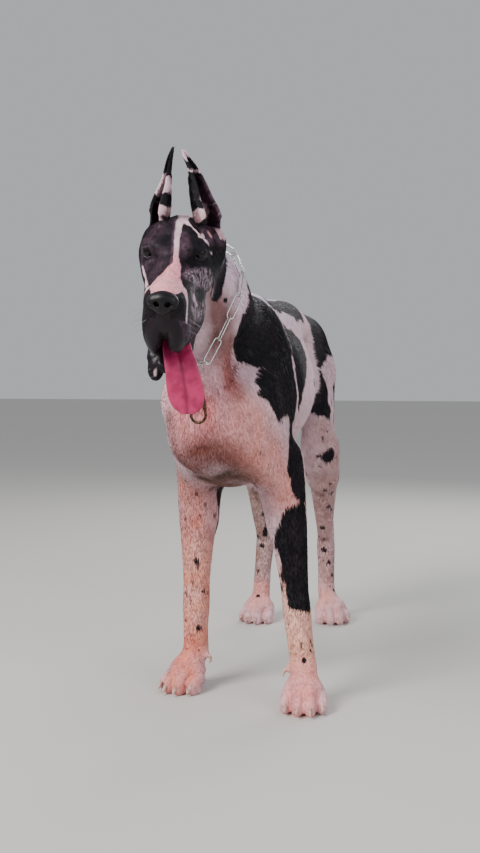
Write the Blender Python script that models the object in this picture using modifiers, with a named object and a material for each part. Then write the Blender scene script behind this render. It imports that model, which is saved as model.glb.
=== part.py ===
"""A life-size harlequin great dane, standing, with cropped ears, its tongue out, a chain collar and a snap hook.

Metres, +Z up. The dog faces -Y, its left side is +X, and its paws stand on z = 0.
"""

import math

import bmesh
import bpy
import numpy as np
from mathutils import Matrix, Vector

GAP = 0.0003
OBJECT_NAME = "great_dane"

# Where the head is: the point midway between the eyes, and how the head turns
EYES_MIDDLE = Vector((-0.035, -0.357, 0.902))
HEAD_YAW = math.radians(11.8)
HEAD_PITCH = math.radians(23.3)
HEAD_ROLL = math.radians(-2.8)
EYE_SPACING = 0.091
EYE_RADIUS = 0.0130

# The spine runs a little to the dog's right of its forefeet: it leans on that side
CHEST_X = -0.036
HIP_X = -0.042

LEFT, RIGHT = 1, -1


class Round:
    """A rounded mass of flesh: a tapered rod from a to b, with the width of its blend into its neighbours."""

    def __init__(self, a, b, ra, rb, blend=0.02, squeeze=None, share=1.0):
        self.a, self.b = np.array(a, float), np.array(b, float)
        self.ra, self.rb, self.blend = ra, rb, blend
        self.squeeze = None if squeeze is None else np.array(Vector(squeeze).normalized())
        self.share = share
        self.carves = False

    def reach(self):
        """The centre and radius of a ball that holds the mass."""
        half = np.linalg.norm(self.b - self.a) / 2
        return (self.a + self.b) / 2, half + max(self.ra, self.rb) * max(1.0, self.share)

    def distance(self, points):
        """How far each point is outside the mass; negative inside it."""
        p = points - self.a
        if self.squeeze is not None:
            p = p + np.outer(p @ self.squeeze, self.squeeze) * (1 / self.share - 1)
        axis = self.b - self.a
        length2 = axis @ axis
        fall = self.ra - self.rb
        slope2 = length2 - fall * fall
        y = p @ axis
        z = y - length2
        x2 = (np.square(p * length2 - np.outer(y, axis))).sum(1)
        y2, z2 = y * y * length2, z * z * length2
        k = np.sign(fall) * fall * fall * x2
        beyond_b = np.sqrt(x2 + z2) / length2 - self.rb
        before_a = np.sqrt(x2 + y2) / length2 - self.ra
        side = (np.sqrt(x2 * slope2 / length2) + y * fall) / length2 - self.ra
        d = np.where(np.sign(z) * slope2 * z2 > k, beyond_b, side)
        d = np.where(np.sign(y) * slope2 * y2 < k, before_a, d)
        return d * (1 + self.share) / 2 if self.share < 1 else d

    def add_to(self, bm):
        """Adds the mass to a bmesh as the hull of two balls."""
        rod = bmesh.new()
        for centre, radius in ((self.a, self.ra), (self.b, self.rb)):
            place = Matrix.Translation(Vector(centre))
            bmesh.ops.create_icosphere(rod, subdivisions=2, radius=radius, matrix=place)
        if self.squeeze is not None:
            for v in rod.verts:
                off = (np.array(v.co) - self.a) @ self.squeeze * (self.share - 1)
                v.co += Vector(self.squeeze) * off
        bmesh.ops.delete(rod, geom=rod.faces[:] + rod.edges[:], context="EDGES_FACES")
        hull = bmesh.ops.convex_hull(rod, input=rod.verts[:])
        spare = {v for v in hull["geom_interior"] + hull["geom_unused"] if isinstance(v, bmesh.types.BMVert)}
        bmesh.ops.delete(rod, geom=list(spare), context="VERTS")
        mesh = bpy.data.meshes.new("rod")
        rod.to_mesh(mesh)
        rod.free()
        bm.from_mesh(mesh)
        bpy.data.meshes.remove(mesh)


class Limb:
    """A tapered tube along a smooth path through the given points, as thick at each as its radius."""

    def __init__(self, points, radii, blend=0.02, steps=4):
        knots = np.column_stack((np.array([tuple(p) for p in points], float), radii))
        knots = np.vstack((2 * knots[0] - knots[1], knots, 2 * knots[-1] - knots[-2]))
        path = []
        for p0, p1, p2, p3 in zip(knots, knots[1:], knots[2:], knots[3:]):
            for t in np.arange(steps) / steps:
                bend = (p2 - p0) * t + (2 * p0 - 5 * p1 + 4 * p2 - p3) * t**2 + (3 * p1 - p0 - 3 * p2 + p3) * t**3
                path.append(p1 + bend / 2)
        path.append(knots[-2])
        self.path = path
        self.rods = [Round(a[:3], b[:3], a[3], b[3]) for a, b in zip(path, path[1:])]
        self.blend, self.carves = blend, False

    def reach(self):
        spots = np.array(self.path)
        middle = (spots[:, :3].min(0) + spots[:, :3].max(0)) / 2
        return middle, (np.linalg.norm(spots[:, :3] - middle, axis=1) + spots[:, 3]).max()

    def distance(self, points):
        return np.min([rod.distance(points) for rod in self.rods], axis=0)

    def add_to(self, bm):
        for rod in self.rods:
            rod.add_to(bm)


class Egg:
    """An egg-shaped mass: its centre, its half sizes along its own axes, and the turn of those axes."""

    def __init__(self, centre, radii, turn=None, blend=0.02):
        self.centre, self.radii, self.blend = np.array(centre, float), np.array(radii, float), blend
        self.turn = np.eye(3) if turn is None else np.array(turn)
        self.carves = False

    def reach(self):
        return self.centre, self.radii.max()

    def distance(self, points):
        p = (points - self.centre) @ self.turn
        k0 = np.linalg.norm(p / self.radii, axis=1)
        k1 = np.linalg.norm(p / self.radii**2, axis=1)
        return k0 * (k0 - 1) / np.maximum(k1, 1e-9)

    def add_to(self, bm):
        place = Matrix.Translation(Vector(self.centre)) @ Matrix(self.turn.tolist()).to_4x4()
        place = place @ Matrix.Diagonal((*self.radii, 1.0))
        bmesh.ops.create_icosphere(bm, subdivisions=3, radius=1.0, matrix=place)


def carving(mass):
    """The same mass, carved out of the ones before it."""
    mass.carves = True
    return mass


class Flesh:
    """Masses that run together softly in order, where some carve hollows into the ones before them."""

    def __init__(self, masses):
        self.masses = masses

    def near(self, points, mass, margin=0.05):
        centre, radius = mass.reach()
        return np.flatnonzero(np.square(points - centre).sum(1) < (radius + margin) ** 2)

    def distance(self, points):
        """The soft union's distance at each point."""
        total = np.full(len(points), 1.0)
        for mass in self.masses:
            at = self.near(points, mass)
            d, old = mass.distance(points[at]), total[at]
            if mass.carves:
                h = np.clip(0.5 - 0.5 * (old + d) / mass.blend, 0, 1)
                total[at] = old * (1 - h) - d * h + mass.blend * h * (1 - h)
            else:
                h = np.clip(0.5 + 0.5 * (old - d) / mass.blend, 0, 1)
                total[at] = old * (1 - h) + d * h - mass.blend * h * (1 - h)
        return total

    def settle(self, points, step=0.0006, most=0.012):
        """Moves the points down the slope of the distance onto the surface."""
        d = self.distance(points)
        slope = np.stack([self.distance(points + step * e) - d for e in np.eye(3)], 1) / step
        move = d[:, None] * slope / np.maximum(np.square(slope).sum(1), 0.2)[:, None]
        size = np.linalg.norm(move, axis=1, keepdims=True)
        return points - move * np.minimum(1, most / np.maximum(size, 1e-9))


def head_turn():
    """How the head is turned from facing straight ahead along -Y."""
    spin = Matrix.Rotation(HEAD_YAW, 3, "Z") @ Matrix.Rotation(HEAD_PITCH, 3, "X")
    return spin @ Matrix.Rotation(-HEAD_ROLL, 3, "Y")


HEAD_TURN = head_turn()


def on_head(s, f, u):
    """A place on the head from its distances left, forward and up of the point between the eyes."""
    return EYES_MIDDLE + HEAD_TURN @ Vector((s, -f, u))


def head_rod(a, b, ra, rb, blend=0.012, squeeze=None, share=1.0):
    flat = None if squeeze is None else HEAD_TURN @ Vector(squeeze)
    return Round(on_head(*a), on_head(*b), ra, rb, blend, flat, share)


def head_egg(centre, radii, turn=(0, 0, 0), blend=0.012):
    """An egg on the head. turn is in degrees about the head's left, back and up axes."""
    spin = Matrix.Identity(3)
    for degrees, axis in zip(turn, "XYZ"):
        spin = Matrix.Rotation(math.radians(degrees), 3, axis) @ spin
    return Egg(on_head(*centre), radii, HEAD_TURN @ spin, blend)


def skull_masses():
    """The braincase, brows, cheeks and the boxy muzzle down to its hanging lips."""
    masses = [
        head_egg((0, -0.085, -0.008), (0.056, 0.086, 0.042), blend=0.02),
        head_rod((0, -0.128, 0.008), (0, -0.154, 0.000), 0.026, 0.022, 0.02),
        head_rod((0, -0.020, -0.004), (0, 0.030, -0.026), 0.034, 0.024, 0.02),
        head_rod((0, 0.020, -0.030), (0, 0.134, -0.040), 0.0235, 0.0205, 0.012),
        head_rod((0, -0.010, -0.068), (0, 0.118, -0.076), 0.037, 0.031, 0.02),
    ]
    for side in (LEFT, RIGHT):
        masses += [
            head_rod((side * 0.021, -0.024, 0.006), (side * 0.024, -0.100, 0.012), 0.022, 0.022, 0.014),
            head_rod((side * 0.026, -0.002, 0.010), (side * 0.050, -0.026, 0.012), 0.0115, 0.0110, 0.016),
            head_rod((side * 0.048, -0.022, -0.024), (side * 0.056, -0.080, -0.020), 0.011, 0.013, 0.022),
            head_egg((side * 0.0435, -0.082, -0.044), (0.025, 0.046, 0.048), blend=0.03),
            head_egg((side * 0.0440, -0.026, -0.002), (0.018, 0.019, 0.018), blend=0.010),
            head_egg((side * 0.040, -0.030, -0.046), (0.020, 0.040, 0.030), blend=0.02),
            head_rod((side * 0.031, 0.002, -0.036), (side * 0.0185, 0.125, -0.050), 0.019, 0.018, 0.016),
            head_egg((side * 0.031, 0.062, -0.100), (0.0150, 0.066, 0.046), (-14, 0, side * -5), 0.016),
            head_egg((side * 0.0215, 0.115, -0.098), (0.0180, 0.030, 0.044), (-16, 0, side * -10), 0.012),
            head_egg((side * 0.038, 0.000, -0.094), (0.0170, 0.036, 0.036), (-20, 0, 0), 0.016),
        ]
    masses += [
        head_egg((0.062, -0.114, -0.012), (0.025, 0.030, 0.034), blend=0.02),
        head_egg((-0.048, -0.112, -0.010), (0.024, 0.030, 0.032), blend=0.02),
        head_egg((0.039, 0.030, -0.098), (0.0150, 0.052, 0.038), (-14, 0, -4), 0.016),
    ]
    return masses


def mouth_masses():
    """The hollow of the open mouth and the dropped lower jaw in it, with its lip folds."""
    masses = [
        carving(head_rod((0, -0.004, -0.126), (0, 0.128, -0.160), 0.018, 0.030, 0.006, (1, 0, 0), 1.05)),
        head_rod((0, -0.060, -0.094), (0, 0.030, -0.148), 0.029, 0.020, 0.014, (1, 0, 0), 1.2),
        head_rod((0, 0.030, -0.148), (0, 0.086, -0.178), 0.019, 0.0160, 0.010, (1, 0, 0), 1.5),
    ]
    for side in (LEFT, RIGHT):
        masses += [
            head_rod((side * 0.031, 0.000, -0.128), (side * 0.029, 0.068, -0.170), 0.0125, 0.0125, 0.008),
            head_egg((side * 0.024, 0.076, -0.190), (0.0150, 0.0180, 0.0230), (-20, 0, 0), 0.008),
        ]
    masses.append(carving(head_rod((0, 0.000, -0.122), (0, 0.100, -0.160), 0.012, 0.012, 0.006, (1, 0, 0), 1.5)))
    return masses


def eye_centre(side):
    return (side * EYE_SPACING / 2, -0.0145, 0.0)


def lid_masses(side):
    """The upper and lower lid of one eye, each a bent roll from the inner corner to the outer one."""
    masses = []
    s0, f0, u0 = eye_centre(side)
    for lift, sag, roll in ((1, 0.0098, 0.0032), (-1, 0.0100, 0.0026)):
        points = []
        for step in range(7):
            turn = math.radians(-66 + 22 * step)
            rise = lift * sag * math.cos(turn) ** 0.7 - 0.0012 * math.sin(turn)
            out = math.sqrt(EYE_RADIUS**2 - rise**2) + 0.0004
            angle = turn + math.radians(14)
            points.append((s0 + side * out * math.sin(angle), f0 + out * math.cos(angle), u0 + rise))
        masses += [head_rod(a, b, roll, roll, 0.003) for a, b in zip(points, points[1:])]
    return masses


def neck_masses():
    """The arched neck, deeper than it is wide, with the loose skin of its throat."""
    wide = (1, 0, 0)
    return [
        Round((-0.034, 0.00, 0.728), (-0.040, -0.120, 0.832), 0.116, 0.086, 0.05, wide, 0.74),
        Round((-0.040, -0.120, 0.832), (-0.054, -0.215, 0.910), 0.088, 0.066, 0.04, wide, 0.86),
        Round((-0.054, -0.215, 0.910), (-0.052, -0.262, 0.930), 0.062, 0.052, 0.03, wide, 0.92),
        Round((-0.036, -0.135, 0.640), (-0.044, -0.235, 0.825), 0.060, 0.040, 0.04, wide, 0.8),
        Round((-0.044, -0.235, 0.825), (-0.046, -0.300, 0.845), 0.036, 0.028, 0.03),
    ]


def trunk_masses():
    """The deep chest, the tucked-up belly, the level back and the croup."""
    wide = (1, 0, 0)
    return [
        Egg((CHEST_X, 0.010, 0.620), (0.110, 0.175, 0.168), blend=0.05),
        Egg((CHEST_X, 0.160, 0.645), (0.122, 0.215, 0.186), blend=0.05),
        Egg((-0.037, 0.330, 0.680), (0.104, 0.170, 0.148), blend=0.05),
        Round((CHEST_X, -0.110, 0.546), (CHEST_X, 0.160, 0.498), 0.058, 0.045, 0.05),
        Round((CHEST_X, -0.130, 0.600), (CHEST_X, -0.060, 0.560), 0.062, 0.062, 0.04),
        Round((-0.037, 0.340, 0.635), (HIP_X, 0.560, 0.675), 0.092, 0.072, 0.05),
        Round((CHEST_X, 0.020, 0.795), (CHEST_X, 0.130, 0.808), 0.060, 0.052, 0.05, wide, 0.80),
        Limb(((CHEST_X, 0.100, 0.808), (CHEST_X, 0.300, 0.814), (-0.040, 0.450, 0.817), (HIP_X, 0.570, 0.804)),
             (0.050, 0.056, 0.061, 0.060), 0.05),
        Egg((HIP_X, 0.655, 0.772), (0.082, 0.122, 0.086), blend=0.03),
        Round((HIP_X, 0.700, 0.742), (HIP_X, 0.765, 0.727), 0.054, 0.044, 0.04),
    ]


def beside(side, x, y, z, middle):
    """A point x out to one side of the body's middle."""
    return (middle + side * x, y, z)


# Each leg's joints from the body down to the paw, as seen on the standing dog
FORELEGS = {
    LEFT: {"elbow": (0.070, 0.048, 0.476), "wrist": (0.113, -0.006, 0.188), "fetlock": (0.130, -0.022, 0.080),
           "paw": (0.138, -0.052), "toe_out": math.radians(12)},
    RIGHT: {"elbow": (-0.124, 0.056, 0.476), "wrist": (-0.124, 0.036, 0.188), "fetlock": (-0.127, 0.038, 0.080),
            "paw": (-0.141, 0.018), "toe_out": math.radians(17)},
}
HINDLEGS = {
    LEFT: {"hip": (0.018, 0.655, 0.712), "stifle": (0.044, 0.565, 0.480), "hock": (0.020, 0.762, 0.232),
           "fetlock": (0.022, 0.766, 0.078), "paw": (0.039, 0.740), "toe_out": math.radians(26)},
    RIGHT: {"hip": (-0.102, 0.650, 0.712), "stifle": (-0.130, 0.545, 0.480), "hock": (-0.148, 0.722, 0.232),
            "fetlock": (-0.156, 0.718, 0.078), "paw": (-0.156, 0.694), "toe_out": math.radians(8)},
}


def between(a, b, share):
    return tuple(p + (q - p) * share for p, q in zip(a, b))


def shifted(point, dx=0.0, dy=0.0, dz=0.0):
    return (point[0] + dx, point[1] + dy, point[2] + dz)


class Paw:
    """Where things are on a paw: ahead along its toes, and to the dog's left of its middle."""

    TOE_SPREAD = (-0.037, -0.0130, 0.0130, 0.037)
    TOE_REACH = (0.030, 0.048, 0.048, 0.030)
    OUTER_DROP = 0.010

    def __init__(self, leg, side):
        self.middle, turn, self.side = leg["paw"], leg["toe_out"] * side, side
        self.ahead = (math.sin(turn), -math.cos(turn))
        self.left = (math.cos(turn), math.sin(turn))

    def at(self, left, ahead, z):
        x = self.middle[0] + self.left[0] * left + self.ahead[0] * ahead
        y = self.middle[1] + self.left[1] * left + self.ahead[1] * ahead
        return (x, y, z)

    def masses(self, leg):
        """The paw's back, its four arched toes and its pads."""
        masses = [
            Round(self.at(-0.018, 0, 0.040), self.at(0.018, 0, 0.040), 0.024, 0.024, 0.014),
            Egg(self.at(0, -0.026, 0.014), (0.028, 0.024, 0.020), blend=0.010),
        ]
        for spread, reach in zip(self.TOE_SPREAD, self.TOE_REACH):
            low = self.OUTER_DROP if abs(spread) > self.TOE_SPREAD[2] else 0.0
            knuckle = self.at(spread * 0.88, reach - 0.024, 0.041 - low)
            masses += [
                Round(self.at(spread * 0.55, reach - 0.052, 0.050 - low), knuckle, 0.014, 0.0140, 0.008),
                Round(knuckle, self.at(spread, reach - 0.002, 0.021), 0.0140, 0.0125, 0.004),
                Round(self.at(spread, reach - 0.016, 0.010), self.at(spread, reach, 0.010), 0.0125, 0.0115, 0.005),
            ]
        return masses


# How far each shoulder lies in from the other's mirror image
SHOULDER_INSET = {LEFT: 0.0, RIGHT: 0.010}


def foreleg_masses(side):
    """The shoulder, upper arm, forearm, wrist and pastern of one foreleg."""
    leg = FORELEGS[side]
    elbow, wrist, fetlock = leg["elbow"], leg["wrist"], leg["fetlock"]
    middle = CHEST_X - side * SHOULDER_INSET[side]
    point = beside(side, 0.074, -0.096, 0.628, middle)
    forearm = (shifted(elbow, dz=0.030), shifted(between(elbow, wrist, 0.16), dy=-0.004), between(elbow, wrist, 0.5),
               between(elbow, wrist, 0.82), wrist, between(wrist, fetlock, 0.55), fetlock,
               Paw(leg, side).at(0, 0, 0.045))
    flat = (side, 0.25, 0)
    masses = [
        Round(beside(side, 0.048, 0.035, 0.785, CHEST_X), beside(side, 0.074, -0.050, 0.665, middle),
              0.050, 0.062, 0.05, flat, 0.72),
        Round(beside(side, 0.056, 0.070, 0.740, CHEST_X), beside(side, 0.086, 0.036, 0.606, middle),
              0.060, 0.062, 0.05, flat, 0.66),
        Round(point, shifted(elbow, dz=0.010), 0.054, 0.040, 0.04, (1, 0, 0), 0.92),
        Egg(beside(side, 0.044, -0.130, 0.575, middle), (0.048, 0.048, 0.070), blend=0.03),
        Round(beside(side, 0.056, -0.110, 0.560, middle), shifted(elbow, -side * 0.012, -0.045),
              0.045, 0.040, 0.03),
        Limb(forearm, (0.041, 0.0450, 0.0375, 0.0300, 0.0305, 0.0275, 0.0285, 0.030), 0.03),
        Round(shifted(elbow, -side * 0.018, -0.012, 0.012),
              shifted(between(elbow, wrist, 0.36), -side * 0.012, -0.002), 0.034, 0.028, 0.03),
        Round(shifted(elbow, dy=0.030, dz=0.008), shifted(elbow, dy=0.016, dz=-0.035), 0.020, 0.018, 0.02),
        Round(shifted(wrist, dy=0.024, dz=-0.016), shifted(wrist, dy=0.021, dz=-0.030), 0.0100, 0.0095, 0.012),
        Round(shifted(dewclaw_root(leg), -side * 0.014), dewclaw_tip(leg, side), 0.0095, 0.0068, 0.008),
    ]
    return masses + Paw(leg, side).masses(leg)


def dewclaw_root(leg):
    return between(leg["fetlock"], leg["wrist"], 0.10)


def dewclaw_tip(leg, side):
    """Where the dewclaw's own claw starts, on the inner side of the pastern."""
    return shifted(dewclaw_root(leg), -side * 0.0295, -0.008, -0.016)


def hindleg_masses(side):
    """The thigh, knee, shank, hock and rear pastern of one hind leg."""
    leg = HINDLEGS[side]
    hip, stifle, hock, fetlock = leg["hip"], leg["stifle"], leg["hock"], leg["fetlock"]
    seat = beside(side, 0.036, 0.742, 0.690, HIP_X)
    calf = shifted(between(stifle, hock, 0.40), dy=0.012, dz=0.012)
    shank = (shifted(stifle, dy=0.012, dz=0.020), shifted(between(stifle, hock, 0.22), dy=0.014), calf,
             between(stifle, hock, 0.72), shifted(hock, dz=0.012), shifted(hock, dy=0.002, dz=-0.030),
             between(hock, fetlock, 0.6), fetlock, Paw(leg, side).at(0, 0, 0.045))
    tendon = (shifted(calf, dy=0.026, dz=0.020), shifted(between(calf, hock, 0.6), dy=0.026, dz=0.004),
              shifted(hock, dy=0.017, dz=0.016))
    flat = (1, 0, 0)
    masses = [
        Round(shifted(hip, dz=-0.026), shifted(stifle, dy=0.018, dz=0.02), 0.068, 0.050, 0.05, flat, 0.66),
        Round(seat, shifted(stifle, -side * 0.006, 0.105, 0.010), 0.046, 0.044, 0.06, flat, 0.80),
        Round(shifted(hip, -side * 0.012, 0.02, -0.010), seat, 0.046, 0.046, 0.04, flat, 0.85),
        Round(shifted(hip, -side * 0.006, -0.075, -0.01), shifted(stifle, dy=-0.004, dz=0.05), 0.048, 0.036, 0.05,
              flat, 0.7),
        Round(shifted(stifle, dy=-0.006, dz=0.012), shifted(stifle, dy=-0.004, dz=-0.020), 0.032, 0.029, 0.04),
        Limb(shank, (0.045, 0.0460, 0.0375, 0.0265, 0.0245, 0.0260, 0.0235, 0.0245, 0.028), 0.03),
        Limb(tendon, (0.016, 0.0115, 0.0125), 0.015),
    ]
    return masses + Paw(leg, side).masses(leg)


TAIL_PATH = ((-0.042, 0.760, 0.735), (-0.040, 0.814, 0.702), (-0.038, 0.843, 0.645), (-0.036, 0.862, 0.560),
             (-0.036, 0.874, 0.460), (-0.036, 0.890, 0.370), (-0.038, 0.918, 0.300), (-0.040, 0.955, 0.258))
TAIL_RADII = (0.036, 0.0300, 0.0260, 0.0225, 0.0185, 0.0145, 0.0110, 0.0070)


def tail_masses():
    """The long tail, thick at its root, hanging to the hocks with its end curved up a little."""
    return [Limb(TAIL_PATH, TAIL_RADII, 0.03)]


def dog_flesh():
    masses = trunk_masses() + neck_masses() + skull_masses() + mouth_masses() + tail_masses()
    for side in (LEFT, RIGHT):
        masses += foreleg_masses(side) + hindleg_masses(side) + lid_masses(side)
    return Flesh(masses)


def evaluated_mesh(obj):
    graph = bpy.context.evaluated_depsgraph_get()
    return bpy.data.meshes.new_from_object(obj.evaluated_get(graph))


def bake_modifiers(obj):
    """Replaces the object's mesh by the one that its modifiers make."""
    mesh, old = evaluated_mesh(obj), obj.data
    obj.modifiers.clear()
    obj.data = mesh
    bpy.data.meshes.remove(old)


def new_object(name, bm):
    mesh = bpy.data.meshes.new(name)
    bm.to_mesh(mesh)
    bm.free()
    obj = bpy.data.objects.new(name, mesh)
    bpy.context.scene.collection.objects.link(obj)
    return obj


def vertices_of(mesh):
    flat = np.empty(len(mesh.vertices) * 3)
    mesh.vertices.foreach_get("co", flat)
    return flat.reshape(-1, 3)


def relax(mesh, flesh, rounds, evenness=0.5):
    """Evens out the mesh and settles it on the flesh's surface, in turn."""
    edges = np.empty(len(mesh.edges) * 2, int)
    mesh.edges.foreach_get("vertices", edges)
    a, b = edges.reshape(-1, 2).T
    count = np.bincount(np.concatenate((a, b)), minlength=len(mesh.vertices))[:, None]
    points = vertices_of(mesh)
    for _ in range(rounds):
        total = np.zeros_like(points)
        np.add.at(total, a, points[b])
        np.add.at(total, b, points[a])
        points += evenness * (total / count - points)
        points = flesh.settle(points)
    points = flesh.settle(points)
    mesh.vertices.foreach_set("co", points.ravel())
    mesh.update()


def flesh_object(name, flesh, voxel, centre=None, radius=1.0, rounds=3):
    """The flesh as one closed mesh: its masses fused by a voxel remesh and settled on their soft union."""
    bm, holes = bmesh.new(), bmesh.new()
    for mass in flesh.masses:
        middle, reach = mass.reach()
        if centre is None or np.linalg.norm(middle - np.array(centre)) < radius + reach:
            mass.add_to(holes if mass.carves else bm)
    obj = new_object(name, bm)
    remesh(obj, voxel)
    if holes.verts:
        hole = new_object(name + "_hollow", holes)
        remesh(hole, voxel)
        boolean(obj, hole, "DIFFERENCE")
        remesh(obj, voxel)
    else:
        holes.free()
    relax(obj.data, flesh, rounds)
    remesh(obj, voxel)
    relax(obj.data, flesh, 1, 0.3)
    return obj


def remesh(obj, voxel):
    fuse = obj.modifiers.new("fuse", "REMESH")
    fuse.mode, fuse.voxel_size = "VOXEL", voxel
    bake_modifiers(obj)


def boolean(obj, other, operation, solver="EXACT", keep=False):
    cut = obj.modifiers.new("cut", "BOOLEAN")
    cut.operation, cut.solver, cut.object = operation, solver, other
    bake_modifiers(obj)
    if not keep:
        bpy.data.objects.remove(other)


def loft(bm, rings, closed=True):
    """Skins rings of points, one after the other, and caps both ends when the rings are closed loops."""
    loops = [[bm.verts.new(p) for p in ring] for ring in rings]
    count = len(loops[0])
    for one, two in zip(loops, loops[1:]):
        for i in range(count if closed else count - 1):
            j = (i + 1) % count
            bm.faces.new((one[i], one[j], two[j], two[i]))
    bm.faces.new(loops[0][::-1])
    bm.faces.new(loops[-1])
    bmesh.ops.recalc_face_normals(bm, faces=bm.faces[:])


# Each ear's stations from its root to its tip: out, forward, up, depth of the cup, half its width
EARS = {
    LEFT: ((0.055, -0.092, 0.004, 0.032, 0.028), (0.058, -0.093, 0.030, 0.033, 0.029),
           (0.054, -0.094, 0.055, 0.029, 0.026), (0.044, -0.096, 0.080, 0.023, 0.022),
           (0.036, -0.098, 0.105, 0.019, 0.017), (0.026, -0.100, 0.130, 0.012, 0.011),
           (0.014, -0.101, 0.150, 0.0075, 0.007), (0.007, -0.102, 0.162, 0.0035, 0.0035)),
    RIGHT: ((0.043, -0.088, 0.004, 0.021, 0.026), (0.043, -0.090, 0.030, 0.023, 0.027),
            (0.041, -0.092, 0.055, 0.023, 0.025), (0.036, -0.094, 0.078, 0.020, 0.020),
            (0.029, -0.096, 0.100, 0.0135, 0.015), (0.025, -0.098, 0.118, 0.010, 0.010),
            (0.020, -0.100, 0.145, 0.0075, 0.007), (0.013, -0.101, 0.167, 0.0035, 0.0035)),
}
EAR_OPENS = math.radians(62)
EAR_WALL = 0.0035


def ear_rings(side, steps=6, sweep=math.radians(108)):
    """The ear's sections: a cup that opens outward and a little forward, closed at its root."""
    rings = []
    for row, (out, ahead, up, depth, half) in enumerate(EARS[side]):
        wall = min(EAR_WALL, depth * 0.45)
        ring = []
        for inner in (False, True):
            shrink = wall if inner else 0.0
            for step in range(steps + 1):
                turn = -sweep + 2 * sweep * step / steps
                turn = -turn if inner else turn
                along = -(depth - shrink) * math.cos(turn)
                across = (half - shrink) * math.sin(turn)
                if row == 0 and inner:
                    along, across = along * 0.2, across * 0.2
                s = side * (out + along * math.sin(EAR_OPENS) - across * math.cos(EAR_OPENS))
                f = ahead + along * math.cos(EAR_OPENS) + across * math.sin(EAR_OPENS)
                ring.append(on_head(s, f, up))
        rings.append(ring)
    return rings


def make_ear(side):
    bm = bmesh.new()
    loft(bm, ear_rings(side))
    return new_object("ear_" + SIDE_NAME[side], bm)


# The tongue from inside the mouth over the lip to its tip: out, forward, up, half width, half thickness
TONGUE = ((0.002, -0.005, -0.118, 0.016, 0.0050), (0.008, 0.035, -0.134, 0.022, 0.0060),
          (0.015, 0.075, -0.150, 0.026, 0.0065), (0.0235, 0.102, -0.164, 0.029, 0.0065),
          (0.030, 0.115, -0.183, 0.031, 0.0060), (0.0345, 0.123, -0.203, 0.033, 0.0055),
          (0.038, 0.131, -0.222, 0.032, 0.0050), (0.040, 0.137, -0.237, 0.025, 0.0045),
          (0.041, 0.141, -0.247, 0.012, 0.0035))


def make_tongue(count=16):
    bm, rings = bmesh.new(), []
    spots = [Vector(row[:3]) for row in TONGUE]
    for i, (row, spot) in enumerate(zip(TONGUE, spots)):
        along = (spots[min(i + 1, len(spots) - 1)] - spots[max(i - 1, 0)]).normalized()
        across = Vector((1, 0, 0))
        top = along.cross(across).normalized()
        ring = []
        for step in range(count):
            turn = 2 * math.pi * step / count
            x, y = math.cos(turn) * row[3], math.sin(turn) * row[4]
            curl = 0.10 * row[3] * (x / row[3]) ** 2
            groove = 0.0022 * math.exp(-((x / 0.005) ** 2)) if y > 0 else 0.0
            place = spot - across * x - top * (y + curl - groove)
            ring.append(on_head(*place))
        rings.append(ring)
    loft(bm, rings)
    return new_object("tongue", bm)


def nose_flesh():
    """The nose leather: a broad pad with a wing round each nostril and a slit below its middle."""
    masses = [
        head_egg((0, 0.146, -0.034), (0.0220, 0.0165, 0.0145), blend=0.008),
        head_egg((0, 0.150, -0.048), (0.0145, 0.0110, 0.0120), blend=0.008),
    ]
    for side in (LEFT, RIGHT):
        masses.append(head_egg((side * 0.0155, 0.147, -0.038), (0.0115, 0.0130, 0.0125), blend=0.006))
        masses.append(carving(Limb([on_head(*p) for p in (
            (side * 0.0085, 0.151, -0.038), (side * 0.0108, 0.163, -0.0385), (side * 0.0172, 0.160, -0.0405),
            (side * 0.0250, 0.152, -0.0440))], (0.0040, 0.0052, 0.0036, 0.0022), 0.002)))
    masses.append(carving(head_rod((0, 0.164, -0.040), (0, 0.160, -0.062), 0.0014, 0.0014, 0.002)))
    return Flesh(masses)


SIDE_NAME = {LEFT: "left", RIGHT: "right"}


def make_ball(name, centre, radius, segments=14, rings=8):
    bm = bmesh.new()
    place = Matrix.Translation(centre) @ HEAD_TURN.to_4x4() @ Matrix.Rotation(math.pi / 2, 4, "X")
    bmesh.ops.create_uvsphere(bm, u_segments=segments, v_segments=rings, radius=radius, matrix=place)
    return new_object(name, bm)


def thin_out(obj, target):
    """Reduces the mesh to about the target number of triangles."""
    count = sum(len(p.vertices) - 2 for p in obj.data.polygons)
    fewer = obj.modifiers.new("fewer", "DECIMATE")
    fewer.ratio = min(1.0, target / count)
    bake_modifiers(obj)


def grown_copy(obj, by):
    """A copy of the object swollen by a distance along its own normals, to cut a gap with."""
    bm = bmesh.new()
    bm.from_mesh(obj.data)
    bm.normal_update()
    for v in bm.verts:
        v.co += v.normal * by * max(1.0, min(v.calc_shell_factor(), 2.0))
    return new_object(obj.name + "_grown", bm)


def trim(obj, point, normal):
    """Cuts away all of the object that lies beyond the plane and closes it with a flat face."""
    bm = bmesh.new()
    bm.from_mesh(obj.data)
    geom = bm.verts[:] + bm.edges[:] + bm.faces[:]
    bmesh.ops.bisect_plane(bm, geom=geom, plane_co=point, plane_no=normal, clear_outer=True, dist=1e-6)
    edges = [e for e in bm.edges if e.is_boundary]
    bmesh.ops.holes_fill(bm, edges=edges, sides=0)
    bmesh.ops.recalc_face_normals(bm, faces=bm.faces[:])
    bm.to_mesh(obj.data)
    bm.free()


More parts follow.
